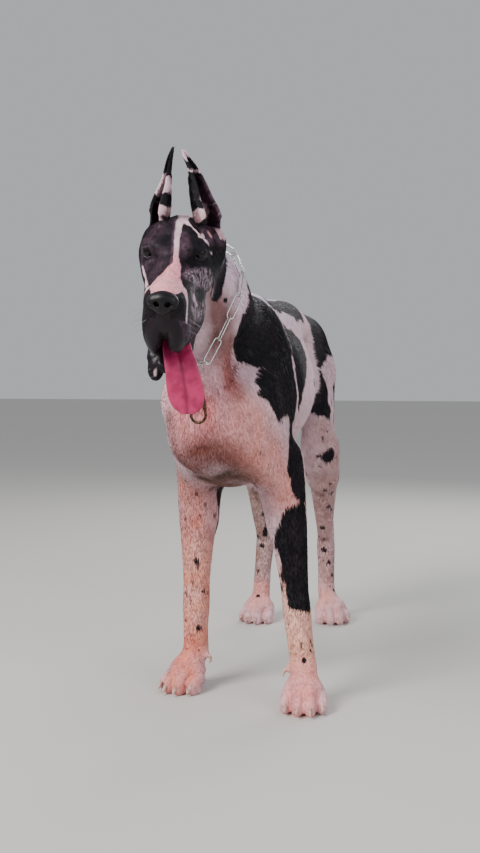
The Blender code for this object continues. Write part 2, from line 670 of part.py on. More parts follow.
def make_claws(leg, side, fore):
    """The paw's claws as one object: a short bent cone out of each toe, and the dewclaw's."""
    paw, bm = Paw(leg, side), bmesh.new()
    for spread, reach in zip(Paw.TOE_SPREAD, Paw.TOE_REACH):
        path = [Vector(paw.at(spread * w, reach + a, z)) for w, a, z in
                ((1.0, -0.002, 0.019), (1.01, 0.010, 0.0165), (1.02, 0.0175, 0.0115), (1.02, 0.0215, 0.0060))]
        horn(bm, path, (0.0050, 0.0045, 0.0034, 0.0010))
    if fore:
        start, tip = Vector(dewclaw_root(leg)), Vector(dewclaw_tip(leg, side))
        along = (tip - start).normalized()
        path = [tip - along * 0.003, tip + along * 0.008,
                tip + along * 0.012 + Vector((side * 0.001, -0.002, -0.005)),
                tip + along * 0.013 + Vector((side * 0.004, -0.004, -0.010))]
        horn(bm, path, (0.0046, 0.0040, 0.0028, 0.0009))
    return new_object("claws", bm)


def horn(bm, path, radii, sides=6):
    rings = []
    for i, (spot, radius) in enumerate(zip(path, radii)):
        along = (path[min(i + 1, len(path) - 1)] - path[max(i - 1, 0)]).normalized()
        across = along.cross(Vector((0, 0, 1))).normalized()
        top = across.cross(along)
        turns = [2 * math.pi * k / sides for k in range(sides)]
        rings.append([spot + (across * math.cos(t) + top * math.sin(t) * 1.15) * radius for t in turns])
    loft(bm, rings)


LINK_WIRE = 0.0032
LINK_HALF_WIDTH = 0.0072
LINK_PLAY = 0.0006
CHAIN_MIDDLE = Vector((-0.042, -0.195, 0.810))
CHAIN_UP = Vector((0.0, 0.41, 0.91)).normalized()
CHAIN_LIFT = 0.0116
CHAIN_LINKS = 14


def chain_loop(flesh):
    """Where the chain's links meet: a loop drawn taut round the neck, a little off its skin, bottom first."""
    across, span = Vector((1, 0, 0)), np.linspace(0.03, 0.2, 400)
    flat = []
    for turn in np.radians(np.arange(0, 360, 5)):
        away = across * math.cos(turn) + CHAIN_UP * math.sin(turn)
        d = flesh.distance(np.array(CHAIN_MIDDLE) + span[:, None] * np.array(away))
        reach = span[np.argmax(d > CHAIN_LIFT)]
        flat.append((math.cos(turn) * reach, math.sin(turn) * reach))
    bottom = min(flat, key=lambda p: p[1])
    bottom = (bottom[0] + CHAIN_SHIFT, bottom[1])
    flat += [(bottom[0] + side * CHAIN_SADDLE, bottom[1]) for side in (LEFT, RIGHT)]
    hull = taut(flat)
    ends = np.array(hull + hull[:1])
    marks = np.concatenate(([0], np.cumsum(np.linalg.norm(np.diff(ends, axis=0), axis=1))))

    def place(at):
        at = at % marks[-1]
        return float(np.interp(at, marks, ends[:, 0])), float(np.interp(at, marks, ends[:, 1]))

    lowest = min(np.linspace(0, marks[-1], 400), key=lambda at: math.dist(place(at), bottom))
    spots = []
    for i in range(CHAIN_LINKS):
        x, y = place(lowest + marks[-1] * (i + 0.5) / CHAIN_LINKS)
        spots.append(CHAIN_MIDDLE + across * x + CHAIN_UP * y)
    return spots


# How far the bottom of the loop is held open to each side, how far it lies off the middle, and how far along
# its lowest link the hanging link has slid
CHAIN_SADDLE = 0.018
CHAIN_SHIFT = 0.010
HANGER_SLIDE = 0.008


def taut(points):
    """The convex outline of flat points, in order."""
    ordered = sorted(points)
    outline = []
    for row in (ordered, ordered[::-1]):
        side = []
        for p in row:
            while len(side) > 1 and (side[-1][0] - side[-2][0]) * (p[1] - side[-2][1]) <= (
                    side[-1][1] - side[-2][1]) * (p[0] - side[-2][0]):
                side.pop()
            side.append(p)
        outline += side[:-1]
    return outline


def tube_loop(bm, path, flat, radius, sides=6):
    """A closed tube along a flat closed path; flat is the direction square to the path's plane."""
    count, loops = len(path), []
    for i, spot in enumerate(path):
        along = (path[(i + 1) % count] - path[i - 1]).normalized()
        out = along.cross(flat).normalized()
        turns = [2 * math.pi * (k + 0.5) / sides for k in range(sides)]
        loops.append([bm.verts.new(spot + (out * math.cos(t) + flat * math.sin(t)) * radius) for t in turns])
    for i in range(count):
        one, two = loops[i], loops[(i + 1) % count]
        for k in range(sides):
            j = (k + 1) % sides
            bm.faces.new((one[k], one[j], two[j], two[k]))
    bmesh.ops.recalc_face_normals(bm, faces=bm.faces[:])


def stadium(middle, along, across, half_length, half_width, arc=4):
    """Points round a long link's centre line."""
    points = []
    for end in (1, -1):
        hub = middle + along * (half_length - half_width) * end
        for k in range(arc + 1):
            turn = math.pi * k / arc
            points.append(hub + (across * math.cos(turn) + along * math.sin(turn)) * half_width * end)
    return points


class Link:
    """One long link between two places where it meets its neighbours, turned about its own length."""

    def __init__(self, start, end, lean):
        self.middle, self.along = (start + end) / 2, (end - start).normalized()
        self.length = (end - start).length
        normal = Vector((1, 0, 0)).cross(CHAIN_UP)
        out = self.along.cross(normal).normalized()
        if (self.middle - CHAIN_MIDDLE).dot(out) < 0:
            out = -out
        self.across = (out + normal * lean).normalized()
        self.past = [LINK_WIRE / 2, LINK_WIRE / 2]

    def path(self):
        """The link's centre line, past its two meeting places by the room that each neighbour needs."""
        middle = self.middle + self.along * (self.past[1] - self.past[0]) / 2
        return stadium(middle, self.along, self.across, (self.length + sum(self.past)) / 2, LINK_HALF_WIDTH)

    def room_to(self, other):
        """The clear distance between this link's wire and the other's."""
        mine, theirs = (np.array([one.path()[k - 1].lerp(one.path()[k], t / 6)
                                  for k in range(10) for t in range(6)])
                        for one in (self, other))
        return np.sqrt(np.square(mine[:, None] - theirs).sum(2)).min() - LINK_WIRE


def make_chain(flesh):
    """The collar's long links, each turned a quarter against the next, and the link that hangs from them."""
    spots = chain_loop(flesh)
    links = [Link(a, b, 1 if i % 2 else -1) for i, (a, b) in enumerate(zip(spots, spots[1:] + spots[:1]))]
    for one, two in zip(links, links[1:] + links[:1]):
        while one.room_to(two) < LINK_PLAY:
            one.past[1] += 0.0002
            two.past[0] += 0.0002
    for i, link in enumerate(links):
        bm = bmesh.new()
        tube_loop(bm, link.path(), link.along.cross(link.across), LINK_WIRE / 2)
        new_object("collar_link_%02d" % (i + 1), bm)
    low = links[-1]
    hang = low.middle + low.across * LINK_HALF_WIDTH * (1 if low.across.z < 0 else -1)
    hang += low.along * HANGER_SLIDE * (1 if low.along.x > 0 else -1)
    down, half = Vector((0, 0, -1)), HANGER_LENGTH / 2
    middle = hang + down * (half - LINK_WIRE - LINK_PLAY)
    bm = bmesh.new()
    hanger = stadium(middle, down, Vector((0, 1, 0)), half, LINK_HALF_WIDTH)
    tube_loop(bm, hanger, Vector((1, 0, 0)), LINK_WIRE / 2)
    new_object("collar_hanger", bm)
    make_hook(middle + down * (half - LINK_WIRE / 2 - HOOK_WIRE - LINK_PLAY))


HANGER_LENGTH = 0.054
HOOK_WIRE = 0.0027
HOOK_HEIGHT = 0.072
HOOK_TOP, HOOK_FOOT = 0.0080, 0.0145
GATE_RADIUS = HOOK_WIRE * 1.35
GATE_SPAN = (0.16, 0.80)


def make_hook(top):
    """The pear-shaped snap hook: a bent bar, and the gate that closes its long side."""
    path = []
    for k in range(9):
        turn = math.pi * k / 8
        path.append(top + Vector((math.cos(turn) * HOOK_TOP, 0, math.sin(turn) * HOOK_TOP - HOOK_TOP)))
    foot = top + Vector((0, 0, HOOK_FOOT - HOOK_HEIGHT + 2 * HOOK_WIRE))
    for k in range(11):
        turn = math.pi + math.pi * k / 10
        path.append(foot + Vector((math.cos(turn), 0, math.sin(turn))) * HOOK_FOOT)
    bm = bmesh.new()
    tube_loop(bm, path, Vector((0, 1, 0)), HOOK_WIRE, 8)
    hook = new_object("carabiner", bm)
    bm = bmesh.new()
    a, b = path[0], path[-1]
    ring = [Vector((math.cos(k * math.pi / 4), math.sin(k * math.pi / 4), 0)) * GATE_RADIUS for k in range(8)]
    loft(bm, [[a.lerp(b, t) + spot for spot in ring] for t in GATE_SPAN])
    boolean(hook, new_object("gate", bm), "UNION")


def head_cut():
    """A point of the plane behind the skull and the jaw, and the direction from it to the neck."""
    occiput, throat = on_head(0, -0.150, 0.030), on_head(0, -0.078, -0.125)
    normal = (throat - occiput).cross(HEAD_TURN @ Vector((-1, 0, 0))).normalized()
    return (occiput + throat) / 2, normal


# Where the body is parted: a point, the cut's direction, and how far the cut reaches each way
def body_cuts():
    cuts = [
        ("neck", Vector((CHEST_X, -0.050, 0.775)), Vector((0, -0.62, 0.78)), 0.28),
        ("ribs", Vector((CHEST_X, 0.290, 0.68)), Vector((0, 1, 0)), 0.28),
        ("loins", Vector((HIP_X, 0.465, 0.72)), Vector((0, 1, 0)), 0.22),
        ("elbows", Vector((-0.025, 0.050, 0.418)), Vector((0, 0, 1)), 0.19),
        ("thighs", Vector((HIP_X, 0.655, 0.572)), Vector((0, 0, 1)), 0.175),
        ("tail", Vector((-0.038, 0.846, 0.635)), Vector((0, 0.35, -0.94)), 0.05),
    ]
    for side in (LEFT, RIGHT):
        hind = HINDLEGS[side]
        shank = Vector(shifted(between(hind["stifle"], hind["hock"], 0.36), dy=0.008))
        cuts.append(("shank", shank, Vector((0, -0.45, 0.89)), 0.110))
    return cuts


def rings_across(bm, point, normal):
    """The closed rings of faces that the plane crosses, after moving corners that lie on it a hair off."""
    side = {}
    for v in bm.verts:
        off = (v.co - point).dot(normal)
        if abs(off) < 2e-5:
            v.co += normal * math.copysign(5e-5, off)
            off = math.copysign(5e-5, off)
        side[v] = off > 0
    left, rings = {f for f in bm.faces if len({side[v] for v in f.verts}) == 2}, []
    while left:
        todo, ring = [left.pop()], []
        while todo:
            face = todo.pop()
            ring.append(face)
            for edge in (e for e in face.edges if side[e.verts[0]] != side[e.verts[1]]):
                for other in edge.link_faces:
                    if other in left:
                        left.remove(other)
                        todo.append(other)
        rings.append(ring)
    return rings


def part_along(bm, name, point, normal, reach):
    """Parts the closed mesh at a plane, only at the rings round the point, into closed pieces and a gap."""
    normal = normal.normalized()
    faces = []
    for ring in rings_across(bm, point, normal):
        middle = sum((f.calc_center_median() for f in ring), Vector()) / len(ring)
        if (middle - point).length < reach:
            faces += ring
    geom = list({v for f in faces for v in f.verts} | {e for f in faces for e in f.edges}) + faces
    cut = bmesh.ops.bisect_plane(bm, geom=geom, plane_co=point, plane_no=normal, dist=1e-6)["geom_cut"]
    edges = {e for e in cut if isinstance(e, bmesh.types.BMEdge)}
    corners = [v for v in cut if isinstance(v, bmesh.types.BMVert)]
    if any(sum(e in edges for e in v.link_edges) != 2 for v in corners):
        raise ValueError("the cut at the " + name + " is not a closed ring")
    bmesh.ops.split_edges(bm, edges=list(edges))
    rim = [e for e in bm.edges if e.is_boundary]
    for v in {v for e in rim for v in e.verts}:
        away = sum((f.calc_center_median() - point).dot(normal) for f in v.link_faces)
        v.co += normal * math.copysign(GAP / 2, away)
    bmesh.ops.holes_fill(bm, edges=rim, sides=0)


def part_body(dog):
    """Parts the body along its planes and gives each piece its name."""
    point, normal = head_cut()
    trim(dog, point - normal * 0.012, -normal)
    trim(dog, Vector((0, 0, ANKLE_HEIGHT - 0.012)), Vector((0, 0, -1)))
    thin_out(dog, BODY_FACES)
    trim(dog, point + normal * GAP / 2, -normal)
    trim(dog, Vector((0, 0, ANKLE_HEIGHT + GAP / 2)), Vector((0, 0, -1)))
    bm = bmesh.new()
    bm.from_mesh(dog.data)
    for name, point, normal, reach in body_cuts():
        part_along(bm, name, point, normal, reach)
    bpy.data.objects.remove(dog)
    seeds = {"neck": Vector((-0.044, -0.13, 0.82)), "chest": Vector((CHEST_X, 0.06, 0.63)),
             "belly": Vector((-0.038, 0.40, 0.70)), "rump": Vector((HIP_X, 0.67, 0.71)),
             "tail": Vector((-0.038, 0.87, 0.50))}
    for side in (LEFT, RIGHT):
        fore, hind, tag = FORELEGS[side], HINDLEGS[side], "_" + SIDE_NAME[side]
        seeds["foreleg" + tag] = Vector(between(fore["elbow"], fore["fetlock"], 0.5))
        seeds["thigh" + tag] = Vector(shifted(hind["stifle"], dy=0.05, dz=0.04))
        seeds["shank" + tag] = Vector(between(hind["stifle"], hind["fetlock"], 0.62))
    pieces = {}
    for faces in islands(bm):
        centre = sum((f.calc_center_median() * f.calc_area() for f in faces), Vector()) / sum(
            f.calc_area() for f in faces)
        name = min(seeds, key=lambda n: (seeds[n] - centre).length)
        if name not in pieces or len(faces) > len(pieces[name]):
            pieces[name] = faces
    for name, faces in pieces.items():
        new_object(name, island_mesh(faces))
    bm.free()


def islands(bm):
    """The mesh's loose parts, each as its list of faces."""
    left, found = set(bm.faces), []
    while left:
        todo, faces = [left.pop()], []
        while todo:
            face = todo.pop()
            faces.append(face)
            for edge in (e for e in face.edges if len(e.link_faces) == 2):
                for other in edge.link_faces:
                    if other in left:
                        left.remove(other)
                        todo.append(other)
        found.append(faces)
    return found


def keep_nearest(obj, point):
    """Drops every loose part of the mesh but the one whose middle is nearest to the point."""
    bm = bmesh.new()
    bm.from_mesh(obj.data)
    parts = islands(bm)
    areas = [sum(f.calc_area() for f in faces) for faces in parts]
    middles = [sum((f.calc_center_median() * f.calc_area() for f in faces), Vector()) / area
               for faces, area in zip(parts, areas)]
    kept = min((i for i in range(len(parts)) if areas[i] > 0.005), key=lambda i: (middles[i] - point).length)
    one = island_mesh(parts[kept])
    one.to_mesh(obj.data)
    one.free()
    bm.free()


def island_mesh(faces):
    bm, made = bmesh.new(), {}
    for face in faces:
        for v in face.verts:
            if v not in made:
                made[v] = bm.verts.new(v.co)
        corners = [made[v] for v in face.verts]
        if not bm.faces.get(corners):
            bm.faces.new(corners)
    return bm


def make_paw(flesh, leg, side, fore):
    name = ("forepaw_" if fore else "hindpaw_") + SIDE_NAME[side]
    paw = flesh_object(name, flesh, 0.0045, Paw(leg, side).at(0, 0, 0.05), 0.10)
    trim(paw, Vector((0, 0, ANKLE_HEIGHT + 0.012)), Vector((0, 0, 1)))
    keep_nearest(paw, Vector(Paw(leg, side).at(0, 0, 0.05)))
    thin_out(paw, PAW_FACES)
    trim(paw, Vector((0, 0, ANKLE_HEIGHT - GAP / 2)), Vector((0, 0, 1)))
    trim(paw, Vector((0, 0, 0)), Vector((0, 0, -1)))
    boolean(paw, make_claws(leg, side, fore), "UNION")
    return paw


PAW_FACES = 380
ANKLE_HEIGHT = 0.107
HEAD_FACES = 2300
BODY_FACES = 4800

LOOKS = {
    "coat": ((0.74, 0.56, 0.50), 0.75, 0.0),
    "leather": ((0.03, 0.027, 0.028), 0.35, 0.0),
    "eye": ((0.05, 0.025, 0.015), 0.08, 0.0),
    "tongue": ((0.75, 0.28, 0.36), 0.35, 0.0),
    "steel": ((0.62, 0.62, 0.60), 0.28, 1.0),
    "bronze": ((0.16, 0.12, 0.09), 0.40, 1.0),
}


def look_of(name):
    looks = {"nose": "leather", "tongue": "tongue", "eye": "eye", "collar": "steel", "carabiner": "bronze"}
    return looks.get(name.split("_")[0], "coat")


def paint(obj):
    """Gives the object a material of its own."""
    colour, roughness, metallic = LOOKS[look_of(obj.name)]
    mat = bpy.data.materials.new(obj.name)
    mat.use_nodes = True
    shader = mat.node_tree.nodes["Principled BSDF"]
    shader.inputs["Base Color"].default_value = (*colour, 1.0)
    shader.inputs["Roughness"].default_value = roughness
    shader.inputs["Metallic"].default_value = metallic
    obj.data.materials.clear()
    obj.data.materials.append(mat)


def main():
    for obj in list(bpy.data.objects):
        bpy.data.objects.remove(obj)
    flesh = dog_flesh()
    head = flesh_object("head", flesh, 0.0035, EYES_MIDDLE, 0.22)
    point, normal = head_cut()
    trim(head, point + normal * 0.012, normal)
    keep_nearest(head, on_head(0, 0.02, -0.08))
    thin_out(head, HEAD_FACES)
    trim(head, point - normal * GAP / 2, normal)
    part_body(flesh_object("dog", flesh, 0.009))
    for side in (LEFT, RIGHT):
        make_paw(flesh, FORELEGS[side], side, True)
        make_paw(flesh, HINDLEGS[side], side, False)
        eye = make_ball("eye_" + SIDE_NAME[side], on_head(*eye_centre(side)), EYE_RADIUS)
        boolean(head, grown_copy(eye, GAP), "DIFFERENCE")
    nose = flesh_object("nose", nose_flesh(), 0.0016)
    thin_out(nose, 480)
    boolean(head, grown_copy(nose, GAP), "DIFFERENCE")
    boolean(head, grown_copy(make_tongue(), GAP), "DIFFERENCE")
    keep_nearest(head, on_head(0, 0.02, -0.08))
    for side in (LEFT, RIGHT):
        boolean(make_ear(side), grown_copy(head, GAP), "DIFFERENCE")
    make_chain(flesh)
    home = bpy.data.collections.new(OBJECT_NAME)
    bpy.context.scene.collection.children.link(home)
    parts = list(bpy.context.scene.collection.objects)
    spots = np.vstack([vertices_of(obj.data) for obj in parts])
    low, high = spots.min(0), spots.max(0)
    middle = Vector((float(low[0] + high[0]) / 2, float(low[1] + high[1]) / 2, float(low[2])))
    print("box middle", tuple(middle))
    for obj in parts:
        bpy.context.scene.collection.objects.unlink(obj)
        home.objects.link(obj)
        obj.data.transform(Matrix.Translation(-middle))
        obj.data.name = obj.name
        obj.data.shade_smooth()
        obj.data.set_sharp_from_angle(angle=math.radians(45))
        paint(obj)


main()
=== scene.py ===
"""The looks of a life-size harlequin great dane: skin, short coat, face, claws, chain collar and snap hook.

Lengths are in metres. The dog is laid out facing -Y with its left side at +X and its paws on z = 0, and every
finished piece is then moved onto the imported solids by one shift.
"""

import logging
import math
from contextlib import contextmanager
from dataclasses import dataclass, field
from enum import Enum
from typing import Iterable, Iterator, Sequence

import bmesh
import bpy
import numpy as np
from mathutils import Matrix, Vector


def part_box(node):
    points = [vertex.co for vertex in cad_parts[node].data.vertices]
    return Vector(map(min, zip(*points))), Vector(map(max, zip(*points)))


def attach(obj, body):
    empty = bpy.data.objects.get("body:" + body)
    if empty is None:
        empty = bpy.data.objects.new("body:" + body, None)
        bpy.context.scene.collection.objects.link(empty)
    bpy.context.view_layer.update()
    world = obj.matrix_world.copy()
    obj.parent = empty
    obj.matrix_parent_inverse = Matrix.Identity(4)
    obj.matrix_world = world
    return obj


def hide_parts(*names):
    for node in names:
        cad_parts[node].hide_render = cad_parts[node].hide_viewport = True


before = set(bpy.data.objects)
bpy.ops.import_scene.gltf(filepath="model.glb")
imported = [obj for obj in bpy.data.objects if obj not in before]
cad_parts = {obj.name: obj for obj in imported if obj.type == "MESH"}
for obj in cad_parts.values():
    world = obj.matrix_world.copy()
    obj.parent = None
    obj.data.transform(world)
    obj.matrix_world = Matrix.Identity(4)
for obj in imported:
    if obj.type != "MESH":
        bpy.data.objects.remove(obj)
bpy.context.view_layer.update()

LOG = logging.getLogger("great_dane")
Place = tuple[float, float, float]
Colour = tuple[float, float, float]
Station = tuple[float, float, float, float, float]
Rows = np.ndarray
Object = bpy.types.Object
Mesh = bpy.types.Mesh
BMesh = bmesh.types.BMesh
Socket = bpy.types.NodeSocket
Input = Socket | float
Paint = Socket | Colour

EYES_MIDDLE = Vector((-0.035, -0.357, 0.902))
HEAD_YAW = math.radians(11.8)
HEAD_PITCH = math.radians(23.3)
HEAD_ROLL = math.radians(-2.8)
EYE_SPACING = 0.091
EYE_RADIUS = 0.013
CHEST_X = -0.036
HIP_X = -0.042
ANKLE_HEIGHT = 0.107


class Side(Enum):
    """The two sides of the dog, as the sign of its own left."""

    LEFT = 1
    RIGHT = -1

    @property
    def word(self) -> str:
        """The side's name as the nodes spell it."""
        return self.name.lower()


def head_turn() -> Matrix:
    """Works out how the head is turned from facing straight ahead."""
    spin = Matrix.Rotation(HEAD_YAW, 3, "Z") @ Matrix.Rotation(HEAD_PITCH, 3, "X")
    return spin @ Matrix.Rotation(-HEAD_ROLL, 3, "Y")


HEAD_TURN = head_turn()


def on_head(s: float, f: float, u: float) -> Vector:
    """Finds a place on the head.

    Args:
        s: Distance to the dog's left of the point between the eyes.
        f: Distance forward of it.
        u: Distance above it.

    Returns:
        The place in the layout.
    """
    return EYES_MIDDLE + HEAD_TURN @ Vector((s, -f, u))


def in_head(points: Rows) -> Rows:
    """Turns layout places into distances left, forward and up of the point between the eyes."""
    return ((points - np.array(EYES_MIDDLE)) @ np.array(HEAD_TURN)) * np.array((1.0, -1.0, 1.0))


def smooth_path(knots: Rows, steps: int) -> Rows:
    """Draws a smooth path through rows of numbers.

    Args:
        knots: One row for each station, of any width.
        steps: How many rows to make from each station to the next.

    Returns:
        The rows along the path, with the stations among them.
    """
    knots = np.asarray(knots, float)
    knots = np.vstack((2 * knots[0] - knots[1], knots, 2 * knots[-1] - knots[-2]))
    rows = []
    for p0, p1, p2, p3 in zip(knots, knots[1:], knots[2:], knots[3:]):
        for t in np.arange(steps) / steps:
            bend = (p2 - p0) * t + (2 * p0 - 5 * p1 + 4 * p2 - p3) * t**2 + (3 * p1 - p0 - 3 * p2 + p3) * t**3
            rows.append(p1 + bend / 2)
    rows.append(knots[-2])
    return np.array(rows)


# Masses of flesh


class Rod:
    """A tapered rod with round ends, flattened along one direction where that is asked."""

    def __init__(self, a: Place, b: Place, ra: float, rb: float, blend: float = 0.02,
                 squeeze: Sequence[float] | None = None, share: float = 1.0) -> None:
        """Sets the rod's ends, their radii, its blend into its neighbours and its flattening.

        Args:
            a: The middle of one end.
            b: The middle of the other.
            ra: The radius at a.
            rb: The radius at b.
            blend: How far it runs together with the masses before it.
            squeeze: The direction it is flattened along.
            share: How thick it is along that, as a share of its width.
        """
        self.a, self.b = np.array(a, float), np.array(b, float)
        self.ra, self.rb, self.blend, self.share = ra, rb, blend, share
        self.squeeze = None if squeeze is None else np.array(Vector(squeeze).normalized())
        self.carves = False

    def reach(self) -> tuple[Rows, float]:
        """Gives the centre and radius of a ball that holds the rod."""
        half = np.linalg.norm(self.b - self.a) / 2
        return (self.a + self.b) / 2, half + max(self.ra, self.rb) * max(1.0, self.share)

    def distance(self, points: Rows) -> Rows:
        """Measures how far each point is outside the rod.

        Args:
            points: Places, one a row.

        Returns:
            The distances, which are negative inside the rod.
        """
        p = points - self.a
        if self.squeeze is not None:
            p = p + np.outer(p @ self.squeeze, self.squeeze) * (1 / self.share - 1)
        axis = self.b - self.a
        length2 = axis @ axis
        fall = self.ra - self.rb
        slope2 = length2 - fall * fall
        y = p @ axis
        z = y - length2
        x2 = (np.square(p * length2 - np.outer(y, axis))).sum(1)
        y2, z2 = y * y * length2, z * z * length2
        k = np.sign(fall) * fall * fall * x2
        beyond_b = np.sqrt(x2 + z2) / length2 - self.rb
        before_a = np.sqrt(x2 + y2) / length2 - self.ra
        side = (np.sqrt(x2 * slope2 / length2) + y * fall) / length2 - self.ra
        d = np.where(np.sign(z) * slope2 * z2 > k, beyond_b, side)
        d = np.where(np.sign(y) * slope2 * y2 < k, before_a, d)
        return d * (1 + self.share) / 2 if self.share < 1 else d

    def add_to(self, bm: BMesh) -> None:
        """Adds the hull of the rod's two end balls to a bmesh.

        Args:
            bm: The bmesh that gets the hull.
        """
        rod = bmesh.new()
        for centre, radius in ((self.a, self.ra), (self.b, self.rb)):
            place = Matrix.Translation(Vector(centre))
            bmesh.ops.create_icosphere(rod, subdivisions=2, radius=radius, matrix=place)
        if self.squeeze is not None:
            for v in rod.verts:
                off = (np.array(v.co) - self.a) @ self.squeeze * (self.share - 1)
                v.co += Vector(self.squeeze) * off
        bmesh.ops.delete(rod, geom=rod.faces[:] + rod.edges[:], context="EDGES_FACES")
        hull = bmesh.ops.convex_hull(rod, input=rod.verts[:])
        spare = {v for v in hull["geom_interior"] + hull["geom_unused"] if isinstance(v, bmesh.types.BMVert)}
        bmesh.ops.delete(rod, geom=list(spare), context="VERTS")
        mesh = bpy.data.meshes.new("rod")
        rod.to_mesh(mesh)
        rod.free()
        bm.from_mesh(mesh)
        bpy.data.meshes.remove(mesh)


class Limb:
    """A tapered tube along a smooth path, as thick at each station as its radius."""

    def __init__(self, points: Iterable[Place], radii: Sequence[float], blend: float = 0.02,
                 steps: int = 4) -> None:
        """Sets the stations, their radii and the blend into its neighbours.

        Args:
            points: The stations.
            radii: The radius at each.
            blend: How far it runs together with the masses before it.
            steps: How many rods it has from one station to the next.
        """
        self.path = smooth_path(np.column_stack((np.array([tuple(p) for p in points]), radii)), steps)
        self.rods = [Rod(a[:3], b[:3], a[3], b[3]) for a, b in zip(self.path, self.path[1:])]
        self.blend, self.carves = blend, False

    def reach(self) -> tuple[Rows, float]:
        """Gives the centre and radius of a ball that holds the limb."""
        middle = (self.path[:, :3].min(0) + self.path[:, :3].max(0)) / 2
        return middle, (np.linalg.norm(self.path[:, :3] - middle, axis=1) + self.path[:, 3]).max()

    def distance(self, points: Rows) -> Rows:
        """Measures how far each point is outside the limb; negative inside it."""
        return np.min([rod.distance(points) for rod in self.rods], axis=0)

    def add_to(self, bm: BMesh) -> None:
        """Adds the limb's rods to a bmesh."""
        for rod in self.rods:
            rod.add_to(bm)


class Egg:
    """An egg-shaped mass with half sizes along its own three axes."""

    def __init__(self, centre: Place, radii: Place, turn: Matrix | None = None, blend: float = 0.02) -> None:
        """Sets the egg's centre, half sizes, turn and blend into its neighbours."""
        self.centre, self.radii, self.blend = np.array(centre, float), np.array(radii, float), blend
        self.turn = np.eye(3) if turn is None else np.array(turn)
        self.carves = False

    def reach(self) -> tuple[Rows, float]:
        """Gives the centre and radius of a ball that holds the egg."""
        return self.centre, self.radii.max()

    def distance(self, points: Rows) -> Rows:
        """Measures how far each point is outside the egg; negative inside it."""
        p = (points - self.centre) @ self.turn
        k0 = np.linalg.norm(p / self.radii, axis=1)
        k1 = np.linalg.norm(p / self.radii**2, axis=1)
        return k0 * (k0 - 1) / np.maximum(k1, 1e-9)

    def add_to(self, bm: BMesh) -> None:
        """Adds the egg to a bmesh."""
        place = Matrix.Translation(Vector(self.centre)) @ Matrix(self.turn.tolist()).to_4x4()
        place = place @ Matrix.Diagonal((*self.radii, 1.0))
        bmesh.ops.create_icosphere(bm, subdivisions=3, radius=1.0, matrix=place)


Mass = Rod | Limb | Egg


def carving(mass: Mass) -> Mass:
    """Marks a mass as carved out of the ones before it."""
    mass.carves = True
    return mass


def head_rod(a: Place, b: Place, ra: float, rb: float, blend: float = 0.012,
             squeeze: Place | None = None, share: float = 1.0) -> Rod:
    """Makes a rod from places on the head."""
    flat = None if squeeze is None else HEAD_TURN @ Vector(squeeze)
    return Rod(on_head(*a), on_head(*b), ra, rb, blend, flat, share)


def head_egg(centre: Place, radii: Place, turn: Place = (0, 0, 0), blend: float = 0.012) -> Egg:
    """Makes an egg on the head, turned in degrees about the head's left, back and up axes."""
    spin = Matrix.Identity(3)
    for degrees, axis in zip(turn, "XYZ"):
        spin = Matrix.Rotation(math.radians(degrees), 3, axis) @ spin
    return Egg(on_head(*centre), radii, HEAD_TURN @ spin, blend)


@dataclass
class Flesh:
    """Masses that run together softly in order, where some carve hollows into the ones before them."""

    masses: list[Mass]
    margin: float = 0.05

    def sample(self, points: Rows, offsets: Rows) -> Rows:
        """Measures the soft union at the points and beside them.

        Args:
            points: Places, one a row.
            offsets: Small steps off each place, one a row.

        Returns:
            The distances outside the flesh, a row for each offset.
        """
        total = np.full((len(offsets), len(points)), 1.0)
        for mass in self.masses:
            centre, radius = mass.reach()
            at = np.flatnonzero(np.square(points - centre).sum(1) < (radius + self.margin) ** 2)
            if not len(at):
                continue
            spots = (points[at][None] + offsets[:, None]).reshape(-1, 3)
            d, old = mass.distance(spots).reshape(len(offsets), -1), total[:, at]
            if mass.carves:
                h = np.clip(0.5 - 0.5 * (old + d) / mass.blend, 0, 1)
                total[:, at] = old * (1 - h) - d * h + mass.blend * h * (1 - h)
            else:
                h = np.clip(0.5 + 0.5 * (old - d) / mass.blend, 0, 1)
                total[:, at] = old * (1 - h) + d * h - mass.blend * h * (1 - h)
        return total

    def distance(self, points: Rows) -> Rows:
        """Measures how far each point is outside the flesh."""
        return self.sample(points, np.zeros((1, 3)))[0]

    def settle(self, points: Rows, depth: Rows | float = 0.0, step: float = 0.0006,
               most: float = 0.012) -> Rows:
        """Moves the points down the slope of the distance onto a level.

        Args:
            points: Places, one a row.
            depth: How far below the flesh's surface the level is, for each place or for all.
            step: The length over which the slope is measured.
            most: The longest move.

        Returns:
            The moved places.
        """
        d, dx, dy, dz = self.sample(points, np.vstack((np.zeros(3), step * np.eye(3))))
        slope = np.stack((dx - d, dy - d, dz - d), 1) / step
        move = (d + depth)[:, None] * slope / np.maximum(np.square(slope).sum(1), 0.2)[:, None]
        size = np.linalg.norm(move, axis=1, keepdims=True)
        return points - move * np.minimum(1, most / np.maximum(size, 1e-9))


def between(a: Place, b: Place, share: float) -> Place:
    """Finds the place that share of the way from a to b."""
    return tuple(p + (q - p) * share for p, q in zip(a, b))


def shifted(point: Place, dx: float = 0.0, dy: float = 0.0, dz: float = 0.0) -> Place:
    """Moves a place by the given distances."""
    return (point[0] + dx, point[1] + dy, point[2] + dz)


def beside(side: Side, x: float, y: float, z: float, middle: float) -> Place:
    """Finds the place x out to one side of the body's middle."""
    return (middle + side.value * x, y, z)


# The dog's build


